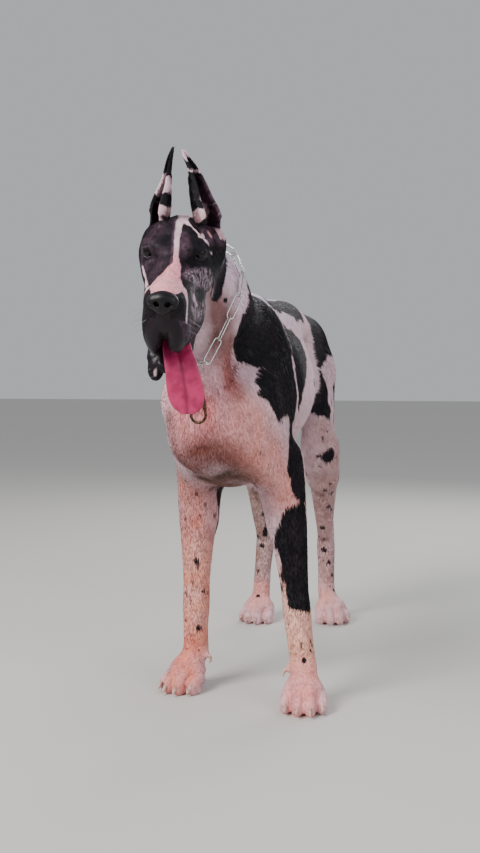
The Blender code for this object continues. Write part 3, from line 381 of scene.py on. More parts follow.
@dataclass(frozen=True)
class Trunk:
    """The chest, belly, back and croup."""

    def masses(self) -> list[Mass]:
        """Lists the deep chest, the tucked-up belly, the level back and the croup."""
        wide = (1, 0, 0)
        back = ((CHEST_X, 0.1, 0.808), (CHEST_X, 0.3, 0.814), (-0.04, 0.45, 0.817), (HIP_X, 0.57, 0.804))
        return [
            Egg((CHEST_X, 0.01, 0.62), (0.11, 0.175, 0.168), blend=0.05),
            Egg((CHEST_X, 0.16, 0.645), (0.122, 0.215, 0.186), blend=0.05),
            Egg((-0.037, 0.33, 0.68), (0.104, 0.17, 0.148), blend=0.05),
            Rod((CHEST_X, -0.11, 0.546), (CHEST_X, 0.16, 0.498), 0.058, 0.045, 0.05),
            Rod((CHEST_X, -0.13, 0.6), (CHEST_X, -0.06, 0.56), 0.062, 0.062, 0.04),
            Rod((-0.037, 0.34, 0.635), (HIP_X, 0.56, 0.675), 0.092, 0.072, 0.05),
            Rod((CHEST_X, 0.02, 0.795), (CHEST_X, 0.13, 0.808), 0.06, 0.052, 0.05, wide, 0.8),
            Limb(back, (0.05, 0.056, 0.061, 0.06), 0.05),
            Egg((HIP_X, 0.655, 0.772), (0.082, 0.122, 0.086), blend=0.03),
            Rod((HIP_X, 0.7, 0.742), (HIP_X, 0.765, 0.727), 0.054, 0.044, 0.04),
        ]


@dataclass(frozen=True)
class Neck:
    """The arched neck, deeper than it is wide, with the loose skin of its throat."""

    def masses(self) -> list[Mass]:
        """Lists the neck from the shoulders to the jaw."""
        wide = (1, 0, 0)
        return [
            Rod((-0.034, 0.0, 0.728), (-0.04, -0.12, 0.832), 0.116, 0.086, 0.05, wide, 0.74),
            Rod((-0.04, -0.12, 0.832), (-0.054, -0.215, 0.91), 0.088, 0.066, 0.04, wide, 0.86),
            Rod((-0.054, -0.215, 0.91), (-0.052, -0.262, 0.93), 0.062, 0.052, 0.03, wide, 0.92),
            Rod((-0.036, -0.135, 0.64), (-0.044, -0.235, 0.825), 0.06, 0.04, 0.04, wide, 0.8),
            Rod((-0.044, -0.235, 0.825), (-0.046, -0.3, 0.845), 0.036, 0.028, 0.03),
        ]


@dataclass(frozen=True)
class Head:
    """The braincase, brows, cheeks and the boxy muzzle down to its hanging lips."""

    def masses(self) -> list[Mass]:
        """Lists the skull's masses."""
        masses = [
            head_egg((0, -0.085, -0.008), (0.056, 0.086, 0.042), blend=0.02),
            head_rod((0, -0.128, 0.008), (0, -0.154, 0.0), 0.026, 0.022, 0.02),
            head_rod((0, -0.02, -0.004), (0, 0.03, -0.026), 0.034, 0.024, 0.02),
            head_rod((0, 0.02, -0.03), (0, 0.134, -0.04), 0.0235, 0.0205, 0.012),
            head_rod((0, -0.01, -0.068), (0, 0.118, -0.076), 0.037, 0.031, 0.02),
        ]
        for side in Side:
            masses += self.half(side.value)
        return masses + [
            head_egg((0.062, -0.114, -0.012), (0.025, 0.03, 0.034), blend=0.02),
            head_egg((-0.048, -0.112, -0.01), (0.024, 0.03, 0.032), blend=0.02),
            head_egg((0.039, 0.03, -0.098), (0.015, 0.052, 0.038), (-14, 0, -4), 0.016),
        ]

    def half(self, w: int) -> list[Mass]:
        """Lists the masses of one side of the skull.

        Args:
            w: The side's sign.

        Returns:
            The masses, in order.
        """
        return [
            head_rod((w * 0.021, -0.024, 0.006), (w * 0.024, -0.1, 0.012), 0.022, 0.022, 0.014),
            head_rod((w * 0.026, -0.002, 0.01), (w * 0.05, -0.026, 0.012), 0.0115, 0.011, 0.016),
            head_rod((w * 0.048, -0.022, -0.024), (w * 0.056, -0.08, -0.02), 0.011, 0.013, 0.022),
            head_egg((w * 0.0435, -0.082, -0.044), (0.025, 0.046, 0.048), blend=0.03),
            head_egg((w * 0.044, -0.026, -0.002), (0.018, 0.019, 0.018), blend=0.01),
            head_egg((w * 0.04, -0.03, -0.046), (0.02, 0.04, 0.03), blend=0.02),
            head_rod((w * 0.031, 0.002, -0.036), (w * 0.0185, 0.125, -0.05), 0.019, 0.018, 0.016),
            head_egg((w * 0.031, 0.062, -0.1), (0.015, 0.066, 0.046), (-14, 0, w * -5), 0.016),
            head_egg((w * 0.0215, 0.115, -0.098), (0.018, 0.03, 0.044), (-16, 0, w * -10), 0.012),
            head_egg((w * 0.038, 0.0, -0.094), (0.017, 0.036, 0.036), (-20, 0, 0), 0.016),
        ]


@dataclass(frozen=True)
class Mouth:
    """The hollow of the open mouth and the dropped lower jaw in it, with its lip folds."""

    def masses(self) -> list[Mass]:
        """Lists the mouth's hollows and the lower jaw."""
        wide = (1, 0, 0)
        masses = [
            carving(head_rod((0, -0.004, -0.126), (0, 0.128, -0.16), 0.018, 0.03, 0.006, wide, 1.05)),
            head_rod((0, -0.06, -0.094), (0, 0.03, -0.148), 0.029, 0.02, 0.014, wide, 1.2),
            head_rod((0, 0.03, -0.148), (0, 0.086, -0.178), 0.019, 0.016, 0.01, wide, 1.5),
        ]
        for w in (1, -1):
            masses += [
                head_rod((w * 0.031, 0.0, -0.128), (w * 0.029, 0.068, -0.17), 0.0125, 0.0125, 0.008),
                head_egg((w * 0.024, 0.076, -0.19), (0.015, 0.018, 0.023), (-20, 0, 0), 0.008),
            ]
        floor = head_rod((0, 0.0, -0.122), (0, 0.1, -0.16), 0.012, 0.012, 0.006, wide, 1.5)
        return masses + [carving(floor)]


@dataclass(frozen=True)
class Lids:
    """The upper and lower lid of one eye."""

    side: Side

    def centre(self) -> Place:
        """The eyeball's middle, on the head."""
        return (self.side.value * EYE_SPACING / 2, -0.0145, 0.0)

    def masses(self) -> list[Mass]:
        """Lists each lid as a bent roll from the inner corner to the outer one."""
        masses = []
        s0, f0, u0 = self.centre()
        for lift, sag, roll in ((1, 0.0098, 0.0032), (-1, 0.01, 0.0026)):
            points = []
            for step in range(7):
                turn = math.radians(-66 + 22 * step)
                rise = lift * sag * math.cos(turn) ** 0.7 - 0.0012 * math.sin(turn)
                out = math.sqrt(EYE_RADIUS**2 - rise**2) + 0.0004
                angle = turn + math.radians(14)
                points.append((s0 + self.side.value * out * math.sin(angle),
                               f0 + out * math.cos(angle), u0 + rise))
            masses += [head_rod(a, b, roll, roll, 0.003) for a, b in zip(points, points[1:])]
        return masses


@dataclass(frozen=True)
class Paw:
    """One paw: where its middle is, how far it is turned out, and what its leg is."""

    middle: tuple[float, float]
    toe_out: float
    side: Side
    spread: tuple[float, ...] = (-0.037, -0.013, 0.013, 0.037)
    reach: tuple[float, ...] = (0.03, 0.048, 0.048, 0.03)
    outer_drop: float = 0.01

    def at(self, left: float, ahead: float, z: float) -> Place:
        """Finds a place on the paw, from its middle towards the dog's left and along its toes."""
        turn = self.toe_out * self.side.value
        x = self.middle[0] + math.cos(turn) * left + math.sin(turn) * ahead
        y = self.middle[1] + math.sin(turn) * left - math.cos(turn) * ahead
        return (x, y, z)

    def masses(self) -> list[Mass]:
        """Lists the paw's back, its four arched toes and its pads."""
        masses = [
            Rod(self.at(-0.018, 0, 0.04), self.at(0.018, 0, 0.04), 0.024, 0.024, 0.014),
            Egg(self.at(0, -0.026, 0.014), (0.028, 0.024, 0.02), blend=0.01),
        ]
        for spread, reach in zip(self.spread, self.reach):
            low = self.outer_drop if abs(spread) > self.spread[2] else 0.0
            knuckle = self.at(spread * 0.88, reach - 0.024, 0.041 - low)
            masses += [
                Rod(self.at(spread * 0.55, reach - 0.052, 0.05 - low), knuckle, 0.014, 0.014, 0.008),
                Rod(knuckle, self.at(spread, reach - 0.002, 0.021), 0.014, 0.0125, 0.004),
                Rod(self.at(spread, reach - 0.016, 0.01), self.at(spread, reach, 0.01),
                    0.0125, 0.0115, 0.005),
            ]
        return masses


@dataclass(frozen=True)
class Foreleg:
    """One foreleg, by its joints from the body down."""

    side: Side
    elbow: Place
    wrist: Place
    fetlock: Place
    paw: Paw
    inset: float = 0.0

    def line(self) -> tuple[Place, ...]:
        """The forearm's and pastern's middle line from the elbow to the paw."""
        elbow, wrist, fetlock = self.elbow, self.wrist, self.fetlock
        return (shifted(elbow, dz=0.03), shifted(between(elbow, wrist, 0.16), dy=-0.004),
                between(elbow, wrist, 0.5), between(elbow, wrist, 0.82), wrist,
                between(wrist, fetlock, 0.55), fetlock, self.paw.at(0, 0, 0.045))

    def dewclaw(self) -> tuple[Place, Place]:
        """The dewclaw's root on the pastern, and where its own claw starts."""
        root = between(self.fetlock, self.wrist, 0.1)
        return root, shifted(root, -self.side.value * 0.0295, -0.008, -0.016)

    def masses(self) -> list[Mass]:
        """Lists the shoulder, upper arm, forearm, wrist, pastern and paw."""
        w, side, elbow, wrist = self.side.value, self.side, self.elbow, self.wrist
        flat = (w, 0.25, 0)
        root, tip = self.dewclaw()
        middle = CHEST_X - w * self.inset
        blade = (beside(side, 0.048, 0.035, 0.785, CHEST_X), beside(side, 0.074, -0.05, 0.665, middle))
        arm = (beside(side, 0.056, 0.07, 0.74, CHEST_X), beside(side, 0.086, 0.036, 0.606, middle))
        masses = [
            Rod(*blade, 0.05, 0.062, 0.05, flat, 0.72),
            Rod(*arm, 0.06, 0.062, 0.05, flat, 0.66),
            Rod(beside(side, 0.074, -0.096, 0.628, middle), shifted(elbow, dz=0.01), 0.054, 0.04, 0.04,
                (1, 0, 0), 0.92),
            Egg(beside(side, 0.044, -0.13, 0.575, middle), (0.048, 0.048, 0.07), blend=0.03),
            Rod(beside(side, 0.056, -0.11, 0.56, middle), shifted(elbow, -w * 0.012, -0.045),
                0.045, 0.04, 0.03),
            Limb(self.line(), (0.041, 0.045, 0.0375, 0.03, 0.0305, 0.0275, 0.0285, 0.03), 0.03),
            Rod(shifted(elbow, -w * 0.018, -0.012, 0.012),
                shifted(between(elbow, wrist, 0.36), -w * 0.012, -0.002), 0.034, 0.028, 0.03),
            Rod(shifted(elbow, dy=0.03, dz=0.008), shifted(elbow, dy=0.016, dz=-0.035), 0.02, 0.018, 0.02),
            Rod(shifted(wrist, dy=0.024, dz=-0.016), shifted(wrist, dy=0.021, dz=-0.03), 0.01, 0.0095, 0.012),
            Rod(shifted(root, -w * 0.014), tip, 0.0095, 0.0068, 0.008),
        ]
        return masses + self.paw.masses()


@dataclass(frozen=True)
class Hindleg:
    """One hind leg, by its joints from the body down."""

    side: Side
    hip: Place
    stifle: Place
    hock: Place
    fetlock: Place
    paw: Paw

    def line(self) -> tuple[Place, ...]:
        """The shank's and rear pastern's middle line from the knee to the paw."""
        stifle, hock = self.stifle, self.hock
        calf = shifted(between(stifle, hock, 0.4), dy=0.012, dz=0.012)
        return (shifted(stifle, dy=0.012, dz=0.02), shifted(between(stifle, hock, 0.22), dy=0.014), calf,
                between(stifle, hock, 0.72), shifted(hock, dz=0.012), shifted(hock, dy=0.002, dz=-0.03),
                between(hock, self.fetlock, 0.6), self.fetlock, self.paw.at(0, 0, 0.045))

    def masses(self) -> list[Mass]:
        """Lists the thigh, knee, shank, hock, rear pastern and paw."""
        w, hip, stifle, hock = self.side.value, self.hip, self.stifle, self.hock
        seat, calf, flat = beside(self.side, 0.036, 0.742, 0.69, HIP_X), self.line()[2], (1, 0, 0)
        tendon = (shifted(calf, dy=0.026, dz=0.02), shifted(between(calf, hock, 0.6), dy=0.026, dz=0.004),
                  shifted(hock, dy=0.017, dz=0.016))
        masses = [
            Rod(shifted(hip, dz=-0.026), shifted(stifle, dy=0.018, dz=0.02), 0.068, 0.05, 0.05, flat, 0.66),
            Rod(seat, shifted(stifle, -w * 0.006, 0.105, 0.01), 0.046, 0.044, 0.06, flat, 0.8),
            Rod(shifted(hip, -w * 0.012, 0.02, -0.01), seat, 0.046, 0.046, 0.04, flat, 0.85),
            Rod(shifted(hip, -w * 0.006, -0.075, -0.01),
                shifted(stifle, dy=-0.004, dz=0.05), 0.048, 0.036, 0.05, flat, 0.7),
            Rod(shifted(stifle, dy=-0.006, dz=0.012),
                shifted(stifle, dy=-0.004, dz=-0.02), 0.032, 0.029, 0.04),
            Limb(self.line(), (0.045, 0.046, 0.0375, 0.0265, 0.0245, 0.026, 0.0235, 0.0245, 0.028), 0.03),
            Limb(tendon, (0.016, 0.0115, 0.0125), 0.015),
        ]
        return masses + self.paw.masses()


@dataclass(frozen=True)
class Tail:
    """The long tail, thick at its root, hanging to the hocks with its end curved up a little."""

    path: tuple[Place, ...] = ((-0.042, 0.76, 0.735), (-0.04, 0.814, 0.702), (-0.038, 0.843, 0.645),
                               (-0.036, 0.862, 0.56), (-0.036, 0.874, 0.46), (-0.036, 0.89, 0.37),
                               (-0.038, 0.918, 0.3), (-0.04, 0.955, 0.258))
    radii: tuple[float, ...] = (0.036, 0.03, 0.026, 0.0225, 0.0185, 0.0145, 0.011, 0.007)

    def masses(self) -> list[Mass]:
        """Lists the tail as one limb."""
        return [Limb(self.path, self.radii, 0.03)]


FORELEGS = (
    Foreleg(Side.LEFT, (0.07, 0.048, 0.476), (0.113, -0.006, 0.188), (0.13, -0.022, 0.08),
            Paw((0.138, -0.052), math.radians(12), Side.LEFT)),
    Foreleg(Side.RIGHT, (-0.124, 0.056, 0.476), (-0.124, 0.036, 0.188), (-0.127, 0.038, 0.08),
            Paw((-0.141, 0.018), math.radians(17), Side.RIGHT), 0.01),
)
HINDLEGS = (
    Hindleg(Side.LEFT, (0.018, 0.655, 0.712), (0.044, 0.565, 0.48), (0.02, 0.762, 0.232),
            (0.022, 0.766, 0.078), Paw((0.039, 0.74), math.radians(26), Side.LEFT)),
    Hindleg(Side.RIGHT, (-0.102, 0.65, 0.712), (-0.13, 0.545, 0.48), (-0.148, 0.722, 0.232),
            (-0.156, 0.718, 0.078), Paw((-0.156, 0.694), math.radians(8), Side.RIGHT)),
)


def build_of_dog() -> Flesh:
    """Gathers every mass of the dog in the order in which they run together."""
    masses = Trunk().masses() + Neck().masses() + Head().masses() + Mouth().masses() + Tail().masses()
    for w, side in enumerate(Side):
        masses += FORELEGS[w].masses() + HINDLEGS[w].masses() + Lids(side).masses()
    return Flesh(masses)


# Meshes


def evaluated(obj: Object) -> Mesh:
    """Makes the mesh that the object's modifiers give."""
    graph = bpy.context.evaluated_depsgraph_get()
    return bpy.data.meshes.new_from_object(obj.evaluated_get(graph))


def bake_modifiers(obj: Object) -> None:
    """Replaces the object's mesh by the one that its modifiers make."""
    mesh, old = evaluated(obj), obj.data
    obj.modifiers.clear()
    obj.data = mesh
    bpy.data.meshes.remove(old)


def new_object(name: str, bm: BMesh) -> Object:
    """Turns a bmesh into an object of the scene, with its faces outward.

    Args:
        name: The object's name.
        bm: The bmesh, which is used up.

    Returns:
        The object, linked to the scene.
    """
    bmesh.ops.recalc_face_normals(bm, faces=bm.faces[:])
    mesh = bpy.data.meshes.new(name)
    bm.to_mesh(mesh)
    bm.free()
    obj = bpy.data.objects.new(name, mesh)
    bpy.context.scene.collection.objects.link(obj)
    return obj


@contextmanager
def edited(obj: Object) -> Iterator[BMesh]:
    """Lends the object's mesh as a bmesh, and puts it back when the edits are done.

    Args:
        obj: The object whose mesh is edited.
    """
    bm = bmesh.new()
    bm.from_mesh(obj.data)
    yield bm
    bm.to_mesh(obj.data)
    bm.free()


def object_from_arrays(name: str, verts: Rows, faces: Rows) -> Object:
    """Makes an object from rows of places and rows of corner numbers.

    Args:
        name: The object's name.
        verts: Places, one a row.
        faces: The corners of each face, all with the same count.

    Returns:
        The object, linked to the scene.
    """
    mesh = bpy.data.meshes.new(name)
    count, corners = faces.shape
    mesh.vertices.add(len(verts))
    mesh.vertices.foreach_set("co", np.ascontiguousarray(verts, np.float32).ravel())
    mesh.loops.add(count * corners)
    mesh.loops.foreach_set("vertex_index", np.ascontiguousarray(faces, np.int32).ravel())
    mesh.polygons.add(count)
    mesh.polygons.foreach_set("loop_start", np.arange(0, count * corners, corners, dtype=np.int32))
    mesh.polygons.foreach_set("loop_total", np.full(count, corners, np.int32))
    mesh.update(calc_edges=True)
    obj = bpy.data.objects.new(name, mesh)
    bpy.context.scene.collection.objects.link(obj)
    return obj


def places_of(mesh: Mesh) -> Rows:
    """Reads a mesh's places, one a row."""
    flat = np.empty(len(mesh.vertices) * 3)
    mesh.vertices.foreach_get("co", flat)
    return flat.reshape(-1, 3)


def normals_of(mesh: Mesh) -> Rows:
    """Reads a mesh's outward directions at its places, one a row."""
    flat = np.empty(len(mesh.vertices) * 3, np.float32)
    mesh.vertex_normals.foreach_get("vector", flat)
    return flat.reshape(-1, 3).astype(float)


def put_numbers(mesh: Mesh, name: str, values: Rows) -> None:
    """Keeps a number, or three, for each place of the mesh under a name that materials can read."""
    wide = values.ndim == 2
    layer = mesh.attributes.new(name, "FLOAT_VECTOR" if wide else "FLOAT", "POINT")
    layer.data.foreach_set("vector" if wide else "value", np.ascontiguousarray(values, np.float32).ravel())


def remesh(obj: Object, voxel: float) -> None:
    """Fuses the object's pieces into one closed mesh with faces of an even size."""
    fuse = obj.modifiers.new("fuse", "REMESH")
    fuse.mode, fuse.voxel_size = "VOXEL", voxel
    bake_modifiers(obj)


def boolean(obj: Object, other: Object, operation: str, solver: str = "EXACT") -> None:
    """Joins the other object to this one, or cuts it out, and removes the other.

    Args:
        obj: The object that changes.
        other: The object that is joined or cut out.
        operation: "UNION" or "DIFFERENCE".
        solver: Which of the modifier's ways is used.
    """
    cut = obj.modifiers.new("cut", "BOOLEAN")
    cut.operation, cut.solver, cut.object = operation, solver, other
    bake_modifiers(obj)
    bpy.data.objects.remove(other)


def even_out(mesh: Mesh, flesh: Flesh, rounds: int, share: float = 0.5) -> None:
    """Evens out the mesh and settles it on the flesh's surface, in turn.

    Args:
        mesh: The mesh to change.
        flesh: The masses that it settles on.
        rounds: How many times.
        share: How far each place moves towards its neighbours' middle.
    """
    edges = np.empty(len(mesh.edges) * 2, int)
    mesh.edges.foreach_get("vertices", edges)
    a, b = edges.reshape(-1, 2).T
    points = places_of(mesh)
    size = len(points)
    count = np.bincount(np.concatenate((a, b)), minlength=size)[:, None]
    for _ in range(rounds):
        total = [np.bincount(a, points[b, k], size) + np.bincount(b, points[a, k], size) for k in range(3)]
        points += share * (np.stack(total, 1) / count - points)
        points = flesh.settle(points)
    mesh.vertices.foreach_set("co", points.ravel())
    mesh.update()


def islands(bm: BMesh) -> list[list[bmesh.types.BMFace]]:
    """Finds the mesh's loose parts.

    Args:
        bm: The bmesh to search.

    Returns:
        The faces of each loose part.
    """
    left, found = set(bm.faces), []
    while left:
        todo, faces = [left.pop()], []
        while todo:
            face = todo.pop()
            faces.append(face)
            for other in {f for e in face.edges for f in e.link_faces if f in left}:
                left.discard(other)
                todo.append(other)
        found.append(faces)
    return found


def flesh_mesh(name: str, flesh: Flesh, voxel: float, centre: Sequence[float] | None = None,
               radius: float = 1.0) -> Object:
    """Makes the flesh, or the part of it round a place, as one closed mesh settled on the soft union.

    Args:
        name: The object's name.
        flesh: The masses to fuse.
        voxel: The size of the mesh's faces.
        centre: The middle of the part to make, or None for all of it.
        radius: How far the part reaches.

    Returns:
        The object.
    """
    bm, holes = bmesh.new(), bmesh.new()
    for mass in flesh.masses:
        middle, reach = mass.reach()
        if centre is None or np.linalg.norm(middle - np.array(centre)) < radius + reach:
            mass.add_to(holes if mass.carves else bm)
    obj = new_object(name, bm)
    remesh(obj, voxel)
    if holes.verts:
        hole = new_object(name + "_hollow", holes)
        remesh(hole, voxel)
        boolean(obj, hole, "DIFFERENCE")
        remesh(obj, voxel)
    else:
        holes.free()
    even_out(obj.data, flesh, 2)
    remesh(obj, voxel)
    even_out(obj.data, flesh, 1, 0.3)
    return obj


def split_wide_faces(bm: BMesh) -> None:
    """Splits the faces that have more than four corners into triangles."""
    bmesh.ops.triangulate(bm, faces=[f for f in bm.faces if len(f.verts) > 4])


def loft(bm: BMesh, rings: Sequence[Sequence[Vector]], closed: bool = True) -> None:
    """Skins rings of points, one after the other, and closes both ends.

    Args:
        bm: The bmesh that gets the faces.
        rings: Loops of points, all with the same count.
        closed: Whether the last ring joins the first one, as in a torus.
    """
    loops = [[bm.verts.new(p) for p in ring] for ring in rings]
    count = len(loops[0])
    pairs = list(zip(loops, loops[1:]))
    if closed:
        for end in (loops[0][::-1], loops[-1]):
            bm.faces.new(end)
    else:
        pairs.append((loops[-1], loops[0]))
    for one, two in pairs:
        for i in range(count):
            j = (i + 1) % count
            bm.faces.new((one[i], one[j], two[j], two[i]))


@dataclass(frozen=True)
class Ear:
    """One cropped ear, a cup that opens outward and a little forward and ends in a thin curved tip."""

    side: Side
    rows: tuple[Station, ...]
    opens: float = math.radians(62)
    wall: float = 0.0022
    inset: float = 0.0005
    sweep: float = math.radians(108)

    def rings(self, steps: int = 14, between_rows: int = 4) -> list[list[Vector]]:
        """Finds the ear's sections from its root to its tip.

        Args:
            steps: How many parts each wall has across.
            between_rows: How many sections there are from one station to the next.

        Returns:
            The rings, each out along the outer wall and back along the inner one.
        """
        rings = []
        for row, (out, ahead, up, depth, half) in enumerate(smooth_path(self.rows, between_rows)):
            depth, half = max(depth - self.inset, 0.0012), max(half - self.inset, 0.0012)
            thick = min(self.wall, depth * 0.45)
            ring = []
            for inner in (False, True):
                shrink = thick if inner else 0.0
                for step in range(steps + 1):
                    turn = (1 if inner else -1) * self.sweep * (1 - 2 * step / steps)
                    edge = 1 - 0.35 * max(0.0, abs(turn) / self.sweep - 0.75) * 4 * (0.3 if inner else 0.0)
                    along = -(depth - shrink) * math.cos(turn) * edge
                    across = (half - shrink) * math.sin(turn) * edge
                    if row == 0 and inner:
                        along, across = along * 0.2, across * 0.2
                    s = out + along * math.sin(self.opens) - across * math.cos(self.opens)
                    f = ahead + along * math.cos(self.opens) + across * math.sin(self.opens)
                    ring.append(on_head(self.side.value * s, f, up))
            rings.append(ring)
        return rings

    def mesh(self) -> Object:
        """Makes the ear as a closed mesh."""
        bm = bmesh.new()
        loft(bm, self.rings())
        split_wide_faces(bm)
        return new_object("ear_" + self.side.word, bm)


EARS = (
    Ear(Side.LEFT, (
        (0.055, -0.092, 0.004, 0.032, 0.028), (0.058, -0.093, 0.03, 0.033, 0.029),
        (0.054, -0.094, 0.055, 0.029, 0.026), (0.044, -0.096, 0.08, 0.023, 0.022),
        (0.036, -0.098, 0.105, 0.019, 0.017), (0.026, -0.1, 0.13, 0.012, 0.011),
        (0.014, -0.101, 0.15, 0.0075, 0.007), (0.007, -0.102, 0.162, 0.0035, 0.0035))),
    Ear(Side.RIGHT, (
        (0.043, -0.088, 0.004, 0.021, 0.026), (0.043, -0.09, 0.03, 0.023, 0.027),
        (0.041, -0.092, 0.055, 0.023, 0.025), (0.036, -0.094, 0.078, 0.02, 0.02),
        (0.029, -0.096, 0.1, 0.0135, 0.015), (0.025, -0.098, 0.118, 0.01, 0.01),
        (0.02, -0.1, 0.145, 0.0075, 0.007), (0.013, -0.101, 0.167, 0.0035, 0.0035))),
)


def head_cut() -> tuple[Vector, Vector]:
    """Gives a point of the plane behind the skull and the jaw, and the direction from it to the neck."""
    occiput, throat = on_head(0, -0.15, 0.03), on_head(0, -0.078, -0.125)
    normal = (throat - occiput).cross(HEAD_TURN @ Vector((-1, 0, 0))).normalized()
    return (occiput + throat) / 2, normal


class Region(Enum):
    """The parts of the body that the coat is combed and unwrapped by."""

    HEAD = 0
    NECK = 1
    TRUNK = 2
    TAIL = 3
    FORE_LEFT = 4
    FORE_RIGHT = 5
    HIND_LEFT = 6
    HIND_RIGHT = 7
    EAR_LEFT = 8
    EAR_RIGHT = 9


@dataclass
class Comb:
    """The lines that the coat runs along, and how a place lies on the skin's own unwrap."""

    lines: list[tuple[Region, Rows]] = field(default_factory=list)
    pull: float = 0.022
    span: float = 1.2
    margin: float = 0.04

    def __post_init__(self) -> None:
        """Lays the lines from the nose backwards, down the legs and out to the ears' tips."""
        head = [on_head(*p) for p in ((0, 0.15, -0.05), (0, 0.06, -0.05), (0, -0.03, -0.02), (0, -0.13, 0.0))]
        jaw = [on_head(*p) for p in ((0, 0.095, -0.19), (0, 0.02, -0.14), (0, -0.07, -0.1))]
        neck = [on_head(0, -0.13, 0.0), (-0.048, -0.19, 0.9), (-0.04, -0.09, 0.83), (-0.036, 0.01, 0.79)]
        throat = [on_head(0, -0.07, -0.1), (-0.044, -0.225, 0.82), (-0.038, -0.15, 0.68),
                  (-0.036, -0.13, 0.56), (-0.036, -0.07, 0.47)]
        back = [(-0.036, 0.0, 0.79), (-0.036, 0.3, 0.79), (-0.042, 0.6, 0.79), (-0.042, 0.76, 0.74)]
        side = [(-0.036, -0.08, 0.64), (-0.036, 0.25, 0.6), (-0.042, 0.55, 0.66), (-0.042, 0.74, 0.68)]
        self.add(Region.HEAD, head, jaw)
        self.add(Region.NECK, neck, throat)
        self.add(Region.TRUNK, back, side)
        self.add(Region.TAIL, Tail().path)
        for leg, region in zip(FORELEGS, (Region.FORE_LEFT, Region.FORE_RIGHT)):
            w = leg.side.value
            shoulder = (CHEST_X + w * 0.07, 0.04, 0.74)
            toes = leg.paw.at(0, 0.045, 0.01)
            self.add(region, [shoulder, (leg.elbow[0], leg.elbow[1], 0.54), leg.elbow,
                              leg.wrist, leg.fetlock, toes])
        for leg, region in zip(HINDLEGS, (Region.HIND_LEFT, Region.HIND_RIGHT)):
            w, toes = leg.side.value, leg.paw.at(0, 0.045, 0.01)
            self.add(region, [(HIP_X + w * 0.055, 0.665, 0.73),
                              between(leg.hip, leg.stifle, 0.55), leg.stifle, leg.hock, leg.fetlock, toes])
        for ear, region in zip(EARS, (Region.EAR_LEFT, Region.EAR_RIGHT)):
            self.add(region, [on_head(ear.side.value * r[0], r[1], r[2]) for r in ear.rows])

    def add(self, region: Region, *lines: Sequence[Sequence[float]]) -> None:
        """Keeps lines for a region."""
        for line in lines:
            self.lines.append((region, np.array([tuple(p) for p in line])))

    def follow(self, points: Rows, normals: Rows) -> tuple[Rows, Rows]:
        """Finds how the coat lies at places of the skin.

        Args:
            points: Places on the skin, one a row.
            normals: The skin's outward directions there.

        Returns:
            The coat's direction along the skin, and each place's own place on the unwrap.
        """
        ways, weights = np.zeros_like(points), np.zeros(len(points))
        nearest, label = np.full(len(points), 9.0), np.zeros(len(points), int)
        unwrap = np.zeros((len(points), 2))
        for region, line in self.lines:
            run = 0.0
            for a, b in zip(line, line[1:]):
                axis = b - a
                length = np.linalg.norm(axis)
                axis = axis / length
                t = np.clip((points - a) @ axis, 0, length)
                off = points - a - t[:, None] * axis
                gap = np.linalg.norm(off, axis=1)
                weight = np.exp(-gap / self.pull)
                ways += weight[:, None] * axis
                weights += weight
                closer = gap < nearest
                across = np.cross(axis, (0.97, 0.0, 0.24))
                across /= np.linalg.norm(across)
                turn = np.arctan2(off @ np.cross(axis, across), off @ across) / (2 * math.pi) + 0.5
                nearest[closer], label[closer] = gap[closer], region.value
                unwrap[closer] = np.stack((turn, (run + t) / self.span), 1)[closer]
                run += length
        ways -= (ways * normals).sum(1)[:, None] * normals
        ways /= np.maximum(np.linalg.norm(ways, axis=1, keepdims=True), 1e-9)
        cell = np.stack((label % 4, label // 4), 1)
        inset = self.margin + (1 - 2 * self.margin) * np.clip(unwrap, 0, 1)
        return ways, (cell + inset) / (4, 3)


SKIN_DEPTH = 0.0018
LESS_ON_FACE = 0.0012
LESS_ON_PAWS = 0.0009
SOLE_HEIGHT = 0.0004


